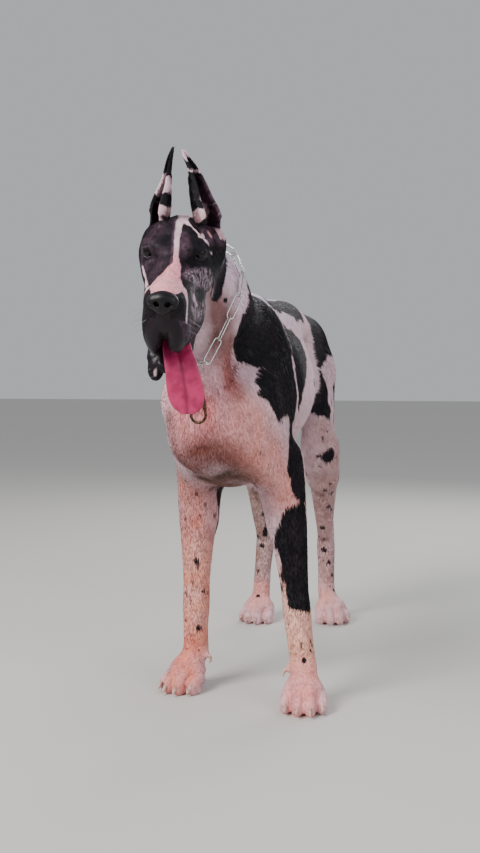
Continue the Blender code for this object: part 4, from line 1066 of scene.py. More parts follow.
@dataclass
class Skin:
    """The dog's skin as one closed mesh, finest on the face, that lies inside the flesh."""

    flesh: Flesh
    body_voxel: float = 0.0074
    head_voxel: float = 0.0026
    paw_voxel: float = 0.0038
    join: float = 0.002
    on_plane: float = 1e-4
    scrap: int = 400
    neck_rim: float = 0.25
    ankle_rim: float = 0.09
    eye_zone: float = 0.021
    spot_zone: float = 0.008
    fold_reach: float = 0.05
    fold_height: float = 0.0034
    face_ball: float = 0.3
    face_start: float = -0.13
    face_fade: float = 0.05
    paw_start: float = 0.16
    paw_fade: float = 0.08
    obj: Object | None = None

    def crop(self, obj: Object, point: Vector, normal: Vector, close: bool = False) -> None:
        """Cuts away what lies beyond the plane and leaves the rim open, or closes it.

        Args:
            obj: The part to cut.
            point: A point of the plane.
            normal: The direction that is cut away.
            close: Whether the cut is closed.
        """
        with edited(obj) as bm:
            geom = bm.verts[:] + bm.edges[:] + bm.faces[:]
            bmesh.ops.bisect_plane(bm, geom=geom, plane_co=point, plane_no=normal,
                                   clear_outer=True, dist=1e-6)
            if close:
                rim = [e for e in bm.edges if e.is_boundary]
                rim = [e for e in rim if abs((e.verts[0].co - point).dot(normal)) < self.on_plane]
                bmesh.ops.holes_fill(bm, edges=rim, sides=0)

    def keep_part(self, bm: BMesh, point: Sequence[float]) -> None:
        """Drops every loose part of the mesh but one.

        Args:
            bm: The bmesh.
            point: A point by the part that stays.
        """
        parts = islands(bm)
        point = Vector(point)
        spans = [min((v.co - point).length for f in part[::5] for v in f.verts) for part in parts]
        kept = set(parts[int(np.argmin(spans))])
        bmesh.ops.delete(bm, geom=[f for f in bm.faces if f not in kept], context="FACES")

    def piece(self, name: str, voxel: float, centre: Sequence[float], radius: float, seed: Sequence[float],
              cuts: Sequence[tuple[Vector, Vector, bool]]) -> Object:
        """Makes one fine part of the skin, cut off where the next one starts.

        Args:
            name: Its name.
            voxel: The size of its faces.
            centre: The middle of the flesh that it is made from.
            radius: How far that flesh reaches.
            seed: A point by the part that is kept.
            cuts: Planes, each as a point, the direction that goes, and whether it is closed.

        Returns:
            The part.
        """
        obj = flesh_mesh(name, self.flesh, voxel, centre, radius)
        for point, normal, close in cuts:
            self.crop(obj, point, normal, close)
        with edited(obj) as bm:
            self.keep_part(bm, seed)
        return obj

    def pieces(self) -> list[Object]:
        """Makes the body, the head and the paws, each with faces as fine as it needs."""
        point, normal = head_cut()
        up, join = Vector((0, 0, 1)), self.join
        body = flesh_mesh("skin", Flesh([m for m in self.flesh.masses if not m.carves]), self.body_voxel)
        self.crop(body, point + normal * join, -normal)
        self.crop(body, Vector((0, 0, ANKLE_HEIGHT + join)), -up)
        made = [body, self.piece("head", self.head_voxel, EYES_MIDDLE, 0.2, on_head(0, 0.1, -0.04),
                                 [(point - normal * join, normal, False)])]
        cuts = [(Vector((0, 0, ANKLE_HEIGHT - join)), up, False), (Vector((0, 0, 0)), -up, True)]
        for leg in FORELEGS + HINDLEGS:
            centre = leg.paw.at(0, 0, 0.05)
            made.append(self.piece("paw", self.paw_voxel, centre, 0.1, leg.paw.at(0, 0.02, 0.05), cuts))
        return made

    def build(self) -> Object:
        """Joins the parts into one closed mesh and settles it inside the flesh."""
        pieces = self.pieces()
        self.obj = pieces[0]
        with edited(self.obj) as bm:
            for obj in pieces[1:]:
                bm.from_mesh(obj.data)
                bpy.data.objects.remove(obj)
            self.drop_scraps(bm)
            self.bridge(bm, head_cut()[0], self.neck_rim)
            for leg in FORELEGS + HINDLEGS:
                self.bridge(bm, Vector((*leg.paw.middle, ANKLE_HEIGHT)), self.ankle_rim)
            split_wide_faces(bm)
            bmesh.ops.recalc_face_normals(bm, faces=bm.faces[:])
        self.refine()
        even_out(self.obj.data, self.flesh, 1, 0.25)
        self.settle()
        for ear in EARS:
            self.add_ear(ear)
        self.obj.data.shade_smooth()
        LOG.info("skin: %d faces", len(self.obj.data.polygons))
        return self.obj

    def drop_scraps(self, bm: BMesh) -> None:
        """Drops scraps that the cuts left loose."""
        scraps = [f for part in islands(bm) if len(part) < self.scrap for f in part]
        bmesh.ops.delete(bm, geom=scraps, context="FACES")

    def bridge(self, bm: BMesh, centre: Vector, reach: float) -> None:
        """Joins the two open rims round a place."""
        rim = [e for e in bm.edges if e.is_boundary
               and ((e.verts[0].co + e.verts[1].co) / 2 - centre).length < reach]
        bmesh.ops.bridge_loops(bm, edges=rim)

    def depth_at(self, points: Rows) -> Rows:
        """Finds how deep the skin lies: least on the face and paws."""
        head = in_head(points)
        near = np.linalg.norm(head, axis=1) < self.face_ball
        on_face = np.clip((head[:, 1] - self.face_start) / self.face_fade, 0, 1) * near
        low = np.clip((self.paw_start - points[:, 2]) / self.paw_fade, 0, 1)
        return SKIN_DEPTH - LESS_ON_FACE * on_face - LESS_ON_PAWS * low * (1 - on_face)

    def refine(self) -> None:
        """Splits the faces round the eyes and round the smallest spots of the body."""
        places = [(on_head(*Lids(side).centre()), self.eye_zone) for side in Side]
        places += [(Vector(place), radius + self.spot_zone) for place, radius in SMALL_SPOTS]
        edges = set()
        with edited(self.obj) as bm:
            for face in bm.faces:
                middle = face.calc_center_median()
                if any((middle - place).length < reach for place, reach in places):
                    edges.update(face.edges)
            bmesh.ops.subdivide_edges(bm, edges=list(edges), cuts=1, use_grid_fill=True)
            split_wide_faces(bm)

    def settle(self) -> None:
        """Moves the skin inside the flesh by the coat's depth, and keeps the soles flat."""
        mesh = self.obj.data
        points = places_of(mesh)
        sole = points[:, 2] < 0.0006
        for _ in range(3):
            points = self.flesh.settle(points, self.depth_at(points))
        points[sole, 2] = SOLE_HEIGHT
        points[:, 2] = np.maximum(points[:, 2], SOLE_HEIGHT)
        mesh.vertices.foreach_set("co", points.ravel())
        mesh.update()

    def add_ear(self, ear: Ear) -> None:
        """Joins an ear to the head and rounds the fold between them.

        Args:
            ear: The ear to join.
        """
        count = len(self.obj.data.vertices)
        boolean(self.obj, ear.mesh(), "UNION", "MANIFOLD")
        if len(self.obj.data.vertices) < count * 0.9:
            raise ValueError("the " + ear.side.word + " ear did not join the head")
        root = on_head(ear.side.value * ear.rows[0][0], ear.rows[0][1], ear.rows[0][2])
        points = places_of(self.obj.data)
        near = np.flatnonzero(np.linalg.norm(points - np.array(root), axis=1) < self.fold_reach)
        close = near[np.abs(self.flesh.distance(points[near])) < self.fold_height]
        with edited(self.obj) as bm:
            bm.verts.ensure_lookup_table()
            fold = {bm.verts[int(i)] for i in close}
            band = {v for v in fold if any(w not in fold for e in v.link_edges for w in e.verts)}
            for _ in range(3):
                band |= {w for v in band for e in v.link_edges for w in e.verts}
            for _ in range(5):
                bmesh.ops.smooth_vert(bm, verts=list(band), factor=0.5,
                                      use_axis_x=True, use_axis_y=True, use_axis_z=True)


# Markings


def srgb(red: int, green: int, blue: int) -> Colour:
    """Turns a colour's eight-bit values into linear ones."""
    return tuple((c / 255 / 12.92) if c <= 10 else ((c / 255 + 0.055) / 1.055) ** 2.4
                 for c in (red, green, blue))


CELL_KEYS = (73856093, 19349663, 83492791)
SEED_KEY = 2654435


def wander(points: Rows, size: float, seed: int) -> Rows:
    """Gives a smooth random number from -1 to 1 at each place, that changes over about the given size.

    Args:
        points: Places, one a row.
        size: The length over which the numbers change.
        seed: Which of many such patterns to give.

    Returns:
        A number for each place.
    """
    at = points / size + seed * 17.3
    cell = np.floor(at).astype(np.int64)
    part = at - cell
    part = part * part * (3 - 2 * part)
    total = np.zeros(len(points))
    for corner in range(8):
        step = np.array((corner & 1, corner >> 1 & 1, corner >> 2 & 1))
        key = (cell + step) @ np.array(CELL_KEYS) + seed * SEED_KEY
        key = (key ^ (key >> 13)) * 1274126177 & 0x7FFFFFFF
        key = (key ^ (key >> 11)) * 1103515245 & 0x7FFFFFFF
        weight = np.prod(np.where(step, part, 1 - part), axis=1)
        total += weight * (key / 0x3FFFFFFF - 1)
    return total


def off_line(points: Rows, a: Rows, b: Rows) -> tuple[Rows, Rows]:
    """Finds how far along the line from a to b each point lies, as a share, and how far from the line."""
    t = np.clip((points - a) @ (b - a) / ((b - a) @ (b - a)), 0, 1)
    return t, np.linalg.norm(points - a - t[:, None] * (b - a), axis=1)


@dataclass(frozen=True)
class Stroke:
    """A mark like a brush stroke: a line of places with the stroke's half width at each."""

    places: tuple[Place, ...]
    widths: tuple[float, ...]
    dark: bool = True
    warp: float = 1.0

    def inside(self, points: Rows) -> Rows:
        """Measures how far inside the stroke each point is.

        Args:
            points: Places, one a row.

        Returns:
            The depths, which are negative outside the stroke.
        """
        best = np.full(len(points), -1.0)
        if len(self.places) == 1:
            return self.widths[0] - np.linalg.norm(points - np.array(self.places[0]), axis=1)
        for a, b, ra, rb in zip(self.places, self.places[1:], self.widths, self.widths[1:]):
            t, gap = off_line(points, np.array(a), np.array(b))
            best = np.maximum(best, ra + (rb - ra) * t - gap)
        return best


def away_from(places: tuple[Place, ...], points: Rows) -> Rows:
    """Measures how far each point is from the line through the places."""
    return -Stroke(places, (0.0,) * len(places)).inside(points)


@dataclass(frozen=True)
class Panel:
    """A mark on one side of the body, by its outline as seen from that side."""

    side: Side
    outline: tuple[tuple[float, float], ...]
    over: float = 0.0
    dark: bool = True
    warp: float = 1.0

    def inside(self, points: Rows) -> Rows:
        """Measures how far inside the mark each point is.

        Args:
            points: Places, one a row.

        Returns:
            The depths, which are negative outside the mark.
        """
        spots, corners = points[:, 1:], np.array(self.outline)
        gap, odd = np.full(len(points), 9.0), np.zeros(len(points), bool)
        for a, b in zip(corners, np.roll(corners, -1, axis=0)):
            gap = np.minimum(gap, off_line(spots, a, b)[1])
            crosses = (a[1] > spots[:, 1]) != (b[1] > spots[:, 1])
            with np.errstate(divide="ignore", invalid="ignore"):
                at = a[0] + (spots[:, 1] - a[1]) * (b[0] - a[0]) / (b[1] - a[1])
            odd ^= crosses & (spots[:, 0] < at)
        flat = np.where(odd, gap, -gap)
        return np.minimum(flat, (points[:, 0] - CHEST_X) * self.side.value + self.over)


def head_stroke(places: Sequence[Place], widths: float | Sequence[float], dark: bool = True,
                warp: float = 0.3) -> Stroke:
    """Makes a stroke from places on the head."""
    wide = tuple(widths) if isinstance(widths, (tuple, list)) else (widths,) * len(places)
    return Stroke(tuple(tuple(on_head(*p)) for p in places), wide, dark, warp)


SHOULDER = ((-.1, .9), (-.135, .835), (-.152, .808), (-.148, .776), (-.14, .745), (-.118, .722), (-.1, .702),
            (-.13, .684), (-.136, .655), (-.124, .624), (-.09, .604), (-.04, .605), (.02, .595), (.09, .6),
            (.108, .651), (.098, .69), (.106, .721), (.16, .767), (.178, .802), (.14, .835), (.02, .875))
RIBS = ((.186, .8), (.27, .79), (.316, .768), (.3, .736), (.256, .7), (.214, .673), (.166, .646), (.14, .615),
        (.126, .62), (.124, .651), (.12, .688), (.127, .726), (.156, .76))
LOIN = ((.13, .848), (.16, .9), (.45, .91), (.47, .855), (.47, .825), (.42, .822), (.35, .818), (.27, .832),
        (.16, .832))
CROUP = ((.5, .87), (.55, .835), (.557, .794), (.556, .765), (.548, .742), (.541, .71),
         (.555, .705), (.575, .735), (.6, .748), (.66, .752), (.72, .75), (.76, .76), (.76, .84),
         (.68, .9), (.6, .91), (.52, .91))
THIGH_FRONT = ((.541, .705), (.538, .677), (.519, .638), (.51, .607), (.512, .592),
               (.528, .584), (.575, .575), (.592, .598), (.576, .624), (.586, .651),
               (.568, .677), (.556, .703))
FAR_SHOULDER = ((-.05, .9), (-.075, .83), (-.03, .79), (-.01, .73), (.02, .66), (.06, .615),
                (.12, .6), (.165, .65), (.15, .72), (.175, .77), (.16, .83), (.06, .87), (.0, .9))
FAR_RIBS = ((.24, .68), (.27, .61), (.34, .6), (.37, .66), (.35, .72), (.29, .74))
FAR_LOIN = ((.2, .86), (.2, .91), (.46, .91), (.49, .83), (.45, .775), (.38, .79), (.33, .76), (.26, .79))
FAR_CROUP = ((.55, .91), (.56, .83), (.6, .76), (.64, .69), (.6, .63), (.66, .6), (.72, .66), (.78, .7),
             (.78, .78), (.72, .9))

BODY_MARKS = (
    Panel(Side.LEFT, SHOULDER, 0.012), Panel(Side.LEFT, RIBS), Panel(Side.LEFT, LOIN, 0.012),
    Panel(Side.LEFT, CROUP, 0.02), Panel(Side.LEFT, THIGH_FRONT),
    Panel(Side.RIGHT, FAR_SHOULDER, -0.006), Panel(Side.RIGHT, FAR_RIBS), Panel(Side.RIGHT, FAR_LOIN, -0.004),
    Panel(Side.RIGHT, FAR_CROUP, 0.0),
    Stroke(((-.036, .11, .86), (-.034, .3, .872), (-.038, .49, .874)), (.01, .016, .012), False),
    Stroke(((.112, .015, .6), (.112, .012, .545), (.11, .01, .495), (.118, .022, .45), (.125, .03, .43)),
           (.036, .035, .034, .027, .012)),
    Stroke(((.121, .014, .418), (.114, .004, .385), (.112, .004, .34),
            (.116, -.002, .28), (.124, -.012, .24)),
           (.012, .034, .046, .044, .04)),
    Stroke(((.072, .66, .66), (.078, .66, .6), (.085, .62, .54), (.082, .64, .45), (.06, .7, .36)),
           (.02, .022, .016, .014, .01)),
    # A dark stroke on the inner side of the left thigh: partly black hair, partly painted shade.
    Stroke(((-.005, .6, .55), (.005, .6, .46), (.02, .63, .4)), (.03, .022, .014)),
    Stroke(((-.078, .03, .47), (-.08, .05, .4), (-.083, .055, .35)), (.012, .01, .008)),
    Stroke(((-.112, .6, .38), (-.118, .65, .3), (-.135, .69, .245)), (.014, .012, .01)),
    Stroke(((-.05, -.24, .96), (-.075, -.19, .93), (-.095, -.13, .88)), (.022, .026, .014)),
    Stroke(((-.02, -.05, .455),), (.012,)),
    Stroke(((-.042, .8, .745), (-.04, .835, .67)), (.03, .026)),
    Stroke(((-.036, .868, .51), (-.036, .876, .44)), (.03, .028)),
    Stroke(((-.037, .905, .335), (-.04, .95, .262)), (.024, .02)),
)
SMALL_SPOTS = (
    ((.076, .532, .48), .021), ((.059, .524, .53), .005), ((.05, .516, .481), .006),
    ((.053, .531, .449), .005), ((.05, .601, .384), .007), ((.063, .642, .372), .006),
    ((.049, .66, .332), .007), ((.021, .703, .267), .01), ((.02, .738, .2), .009),
    ((.036, .744, .166), .006), ((.04, .751, .128), .006), ((.045, .758, .085), .006),
    ((-.15, .699, .213), .008), ((-.165, .703, .24), .005), ((-.164, .699, .141), .006),
    ((-.157, .683, .074), .006), ((-.15, .04, .325), .012), ((-.112, .012, .14), .006),
    ((-.101, .019, .22), .005), ((-.116, .012, .287), .006),
    ((.147, -.025, .138), .006), ((.148, -.03, .119), .006), ((.138, -.043, .104), .005),
    ((.071, .366, .667), .014), ((.062, .43, .7), .008), ((.066, .3, .56), .008),
    ((.014, -.2, .831), .007), ((.02, -.13, .8), .006), ((-.13, .1, .7), .009), ((-.15, .19, .6), .012),
    ((-.13, .45, .69), .01), ((-.1, -.1, .75), .009), ((-.12, .7, .55), .009), ((-.16, .62, .5), .007),
)
HEAD_MARKS = (
    head_stroke(((0, -.125, .0), (0, -.06, -.01), (0, .02, -.06), (0, .12, -.07)), (.062, .085, .085, .085)),
    head_stroke(((0, .04, -.12), (0, .09, -.19)), (.07, .06)),
    head_stroke(((.038, -.15, -.02), (.058, -.098, -.04), (.054, -.09, -.09)), (.045, .05, .03)),
    head_stroke(((.002, -.15, .032), (.012, -.112, .044), (.019, -.084, .041)), (.016, .021, .015), False),
    head_stroke(((.018, -.086, .041), (.034, -.069, .034), (.046, -.056, .023), (.057, -.027, .019),
                 (.063, -.034, .004), (.067, -.046, -.012)), (.015, .0125, .0095, .007, .0055, .003), False),
    head_stroke(((.036, -.106, .036), (.049, -.095, .026), (.061, -.079, .013)), .003, False),
    head_stroke(((.019, -.062, .036), (.025, -.06, .035)), (.0045, .003)),
    head_stroke(((.002, -.09, .043), (.003, -.053, .036), (.006, -.015, .03), (.006, .0, .025),
                 (.007, .015, .012), (.008, .03, .002), (.01, .042, -.006)),
                (.008, .006, .0055, .005, .0045, .005, .007), False, .15),
    head_stroke(((.01, .045, -.007), (.005, .066, -.012), (.002, .085, -.017), (.0, .104, -.019),
                 (.0, .122, -.018)), (.01, .017, .024, .031, .026), False, .25),
    head_stroke(((.029, .103, -.03), (.036, .115, -.042), (.038, .117, -.058), (.038, .125, -.07),
                 (.038, .127, -.081)), (.008, .0048, .0036, .0034, .002), False, .15),
    head_stroke(((-.034, .098, -.033), (-.036, .11, -.05)), (.006, .003), False, .15),
    head_stroke(((-.058, -.006, -.029), (-.052, .014, -.038), (-.043, .05, -.037), (-.037, .085, -.034)),
                (.004, .005, .0045, .004), False, .2),
    head_stroke(((.043, .066, -.055), (.045, .06, -.09)), (.004, .003), False, .2),
    head_stroke(((-.023, .096, -.176), (-.024, .094, -.196)), (.004, .003), False, .2),
)
# An ear's bands from its tip down, by the share of its length; low pale ones are only inside its cup
EAR_MARKS = {
    Side.RIGHT: ((1.01, True), (.71, False), (.505, True), (.415, False), (.305, True)),
    Side.LEFT: ((1.01, False), (.92, True), (.8, False), (.775, True), (.41, False), (.3, True)),
}
CUP_BELOW = 0.45
EAR_DOT = ((.041, -.082, .082), .0065)
# Where the black is warmed to brown, and where a purple-grey sheen is painted on it: the strokes, how far
# they reach, and how much. The first row, over the right brow and forehead, and the row along the left flew
# are painted sheen.
WARMED_AND_SHEEN = (
    (((-.03, -.09, .036), (-.05, -.03, .022), (-.055, .0, -.02)), .024, .38),
    (((.046, -.1, .03), (.058, -.07, .016)), .014, .9),
    (((.012, -.026, .033), (.02, .004, .022), (.024, .018, .01)), .01, .55),
    (((-.007, -.092, .042), (-.003, -.053, .035), (.001, -.002, .027), (.002, .02, .011), (.002, .04, -.002)),
     .0035, 1.0),
    (((-.02, .02, .0), (-.03, .06, -.025)), .016, .35),
    (((.034, .03, -.016), (.03, .056, -.02)), .01, .6),
    (((.033, .137, -.09), (.043, .093, -.107), (.044, .03, -.15)), .018, .45),
    (((.084, -.1, .02), (.07, -.104, .06), (.052, -.108, .09)), .022, 1.2),
)
# Where pale hairs streak the black of the cheek
STREAKED = (
    (((.04, .045, -.028), (.056, -.01, -.046), (.066, -.06, -.085)), .022),
    (((.044, .072, -.05), (.048, .072, -.085), (.056, -.005, -.1)), .02),
)


FAR_FROM_MARKS = 0.05
DEEPEST = 0.03


class Markings:
    """The black patches of the coat and the tone of the pale coat between them, with painted shade, painted
    highlight and painted sheen laid into their colours.
    """

    def warped(self, points: Rows, size: float) -> Rows:
        """Moves the points a little at random, so that the marks' edges wander."""
        shift = np.stack([0.01 * wander(points, 0.045, seed) + 0.005 * wander(points, 0.018, seed + 5)
                          for seed in (1, 2, 3)], 1)
        return points + shift * size

    def black(self, points: Rows) -> Rows:
        """Measures how far inside black each place of the coat is.

        Args:
            points: Places, one a row.

        Returns:
            The depths, which are negative in the pale coat.
        """
        depth = np.full(len(points), -FAR_FROM_MARKS)
        spots = {size: self.warped(points, size) for size in (1.0, 0.3, 0.25, 0.2, 0.15)}
        for mark in BODY_MARKS + HEAD_MARKS:
            inside = mark.inside(spots[mark.warp])
            depth = np.maximum(depth, inside) if mark.dark else np.minimum(depth, -inside)
        for place, radius in SMALL_SPOTS:
            depth = np.maximum(depth, radius - np.linalg.norm(spots[0.3] - np.array(place), axis=1))
        for ear in EARS:
            depth = self.ear_black(ear, points, depth)
        return np.clip(depth, -DEEPEST, DEEPEST)

    def ear_black(self, ear: Ear, points: Rows, depth: Rows) -> Rows:
        """Paints an ear's bands over the depth, by the share of the way from its root to its tip.

        Args:
            ear: The ear.
            points: Places, one a row.
            depth: How far inside black each is without the ear.

        Returns:
            The same with the bands.
        """
        head = in_head(points)
        s = head[:, 0] * ear.side.value
        up = head[:, 2]
        rows = np.array(ear.rows)
        out = np.interp(up, rows[:, 2], rows[:, 0])
        far = np.hypot(s - out, head[:, 1] - np.interp(up, rows[:, 2], rows[:, 1]))
        on_ear = (far < np.interp(up, rows[:, 2], rows[:, 3]) + 0.008) & (up > 0.02)
        share = up / rows[-1, 2] + 0.05 * wander(points, 0.012, 4)
        length = rows[-1, 2]
        bands = EAR_MARKS[ear.side]
        edge = np.full(len(points), -0.02)
        for (top, dark), (low, _) in zip(bands, bands[1:] + ((-1.0, False),)):
            inside = np.minimum(top - share, share - low) * length
            edge = np.where(inside > 0, inside if dark else -inside, edge)
        edge = np.where((share < CUP_BELOW) & (s > out + 0.002), np.abs(edge), edge)
        spot, radius = EAR_DOT
        edge = np.minimum(edge, np.linalg.norm(head - np.array(spot), axis=1) - radius)
        return np.where(on_ear, edge, depth)

    def tone(self, points: Rows, normals: Rows) -> Rows:
        """Gives the pale coat's colour at each place, with painted shade where the coat faces down and the
        painted shade and highlight of its tints.

        Args:
            points: Places, one a row.
            normals: The skin's outward directions there.

        Returns:
            Linear colours, one a row.
        """
        colour = np.tile(np.array(PALE_COAT), (len(points), 1))
        for places, reach, tone, strength in TONES_AND_PAINTED_LIGHT:
            d = away_from(places, points)
            share = strength * np.clip(1.4 - d / reach, 0, 1) ** 1.5
            share *= 1 + 0.25 * wander(points, 0.03, 9)
            colour += np.clip(share, 0, 1)[:, None] * (np.array(tone) - colour)
        # Painted shade: coat that faces down, higher than 0.3 above the floor, is darkened by up to a fifth.
        under = np.clip(-normals[:, 2], 0, 1) * (points[:, 2] > 0.3)
        colour *= (1 - 0.2 * under)[:, None]
        return colour * (1 + 0.07 * wander(points, 0.05, 7) + 0.05 * wander(points, 0.016, 8))[:, None]

    def specks(self, points: Rows) -> Rows:
        """Gives how thickly small dark specks are strewn at each place.

        Args:
            points: Places, one a row.

        Returns:
            Shares from 0 to 1.
        """
        share = np.full(len(points), 0.03)
        for places, reach, strength in SPECKLED:
            d = away_from(places, points)
            share = np.maximum(share, strength * np.clip(1.5 - d / reach, 0, 1))
        return share

    def mottle(self, points: Rows) -> Rows:
        """Gives how streaked with pale hairs the black is at each place.

        Args:
            points: Places, one a row.

        Returns:
            Shares from 0 to 1.
        """
        head = in_head(points)
        share = np.zeros(len(points))
        for places, reach in STREAKED:
            line = Stroke(places, (reach,) * len(places))
            share = np.maximum(share, np.clip(line.inside(head) / 0.01, 0, 1))
        return share

    def warm_and_sheen(self, points: Rows) -> Rows:
        """Gives how far the black fades to brown at each place, and to a painted sheen over the right brow
        and along the left flew.

        Args:
            points: Places, one a row.

        Returns:
            Shares from 0 to 1.
        """
        head = in_head(points)
        share = np.zeros(len(points))
        for places, reach, strength in WARMED_AND_SHEEN:
            d = away_from(places, head)
            share = np.maximum(share, strength * np.clip(1.6 - d / reach, 0, 1))
        return share

    def wet(self, points: Rows) -> Rows:
        """Gives how bare, dark and moist the skin is: the lips, the mouth and the lids' rims.

        Args:
            points: Places, one a row.

        Returns:
            Shares from 0 to 1.
        """
        share = np.zeros(len(points))
        head = in_head(points)
        for w in (1, -1):
            for places, widths in LIP_LINES:
                line = Stroke(tuple((p[0] * w, p[1], p[2]) for p in places), widths)
                share = np.maximum(share, np.clip(line.inside(head) / 0.003 + 0.5, 0, 1))
            centre = np.array(Lids(Side(w)).centre())
            gap = EYE_RADIUS + 0.0034 - np.linalg.norm(head - centre, axis=1)
            share = np.maximum(share, np.clip(gap / 0.002, 0, 1))
        return share


PALE_COAT = srgb(236, 204, 214)
# Tints laid over the pale coat, each a line of places, how far it reaches, its colour and how much. The first
# two rows are painted highlight: lavender-white along the top of the neck and back, and on the near side of
# the neck's top. The dark brown rows in the chest's two thin folds, across the lower chest, at the brisket
# and along the underside of the chest and belly are painted shade. The rest are peach and pink where skin
# shows through on the chest, shoulder, legs, paws, muzzle bridge and ears, a darker brown down the front of
# the neck, and greyer tints on the hind legs.
TONES_AND_PAINTED_LIGHT = (
    (((-.04, -.16, .92), (-.036, .0, .84), (-.036, .3, .86)), .085, srgb(240, 222, 242), .85),
    (((.02, -.14, .9), (.034, -.16, .84)), .03, srgb(252, 226, 244), .8),
    (((-.02, -.24, .84), (.006, -.2, .79), (.004, -.2, .74)), .046, srgb(128, 84, 78), .92),
    (((.01, -.16, .75), (.009, -.165, .7), (.026, -.166, .65)), .028, srgb(138, 88, 82), .85),
    (((-.06, -.16, .66), (-.05, -.19, .6)), .085, srgb(226, 132, 134), .85),
    (((-.12, -.16, .6), (-.109, -.17, .558), (-.07, -.13, .49)), .026, srgb(150, 100, 98), .8),
    (((-.083, -.186, .579), (-.065, -.18, .54)), .034, srgb(216, 150, 148), .6),
    (((-.07, -.15, .52), (-.027, -.18, .535), (.015, -.17, .535), (.045, -.12, .51)), .045,
     srgb(124, 70, 64), .95),
    (((-.06, -.08, .471), (-.002, -.115, .486), (.026, -.064, .472)), .045, srgb(84, 56, 46), .98),
    (((.044, -.167, .6), (.072, -.1, .53), (.1, .0, .44)), .062, srgb(246, 170, 162), .85),
    (((-.124, .0, .5), (-.124, .036, .34)), .06, srgb(214, 134, 122), .85),
    (((-.124, .036, .28), (-.124, .036, .12)), .06, srgb(240, 158, 132), .85),
    (((.113, -.006, .26), (.13, -.03, .1)), .06, srgb(250, 186, 160), .85),
    (((-.135, .01, .09), (-.141, -.02, .02)), .055, srgb(238, 144, 126), .9),
    (((.138, -.05, .06), (.145, -.1, .015)), .05, srgb(248, 160, 154), .9),
    (((.075, .53, .55), (.06, .58, .42), (.02, .7, .3), (.03, .75, .14)), .06, srgb(196, 154, 150), .8),
    (((.02, .74, .06), (.04, .72, .02)), .05, srgb(250, 178, 168), .85),
    (((-.12, .6, .5), (-.158, .65, .29), (-.16, .7, .17)), .07, srgb(166, 132, 120), .85),
    (((-.15, .7, .08), (-.156, .68, .03)), .05, srgb(238, 160, 150), .85),
    (((-.036, -.04, .46), (-.036, .1, .47)), .055, srgb(122, 80, 68), .9),
    (((-.036, .16, .48), (-.036, .3, .5), (-.04, .5, .6)), .065, srgb(140, 102, 92), .8),
    ((tuple(on_head(0, .05, -.005)), tuple(on_head(0, .13, -.02))), .042, srgb(252, 174, 184), .95),
    ((tuple(on_head(.052, -.09, .0)), tuple(on_head(.057, -.09, .04))), .03, srgb(226, 158, 160), .8),
    ((tuple(on_head(-.045, -.09, .0)), tuple(on_head(-.045, -.09, .05))), .026, srgb(240, 176, 176), .8),
)
SPECKLED = (
    (((-.124, .02, .46), (-.124, .01, .28)), .055, .5),
    (((-.128, .01, .26), (-.13, .01, .12)), .05, .32),
    (((.02, .74, .26), (.03, .76, .1)), .045, .25),
    (((.06, .56, .5), (.04, .65, .36), (.015, .72, .22)), .06, .34),
    (((-.14, .6, .45), (-.155, .68, .2)), .06, .34),
    (((.13, -.02, .14), (.138, -.04, .09)), .035, .24),
    (((.0, -.22, .87), (.0, -.2, .82)), .04, .28),
    (((.03, .33, .62), (.03, .5, .7)), .08, .1),
)
LIP_LINES = (
    (((.02, .15, -.078), (.026, .141, -.11), (.03, .12, -.142), (.036, .07, -.16), (.04, .01, -.14)),
     (.012, .012, .012, .011, .01)),
    (((.0, .15, -.065), (.0, .152, -.085)), (.012, .012)),
    (((.0, .12, -.145), (.0, .06, -.15), (.0, .0, -.125)), (.026, .028, .026)),
    (((.022, .09, -.172), (.024, .08, -.19)), (.01, .01)),
)


# Materials


@dataclass(frozen=True)
class Finish:
    """What a plain surface looks like."""

    colour: Colour
    roughness: float
    metallic: float = 0.0
    specular: float = 0.5
    sheen: float = 0.0
    clear: float = 0.0


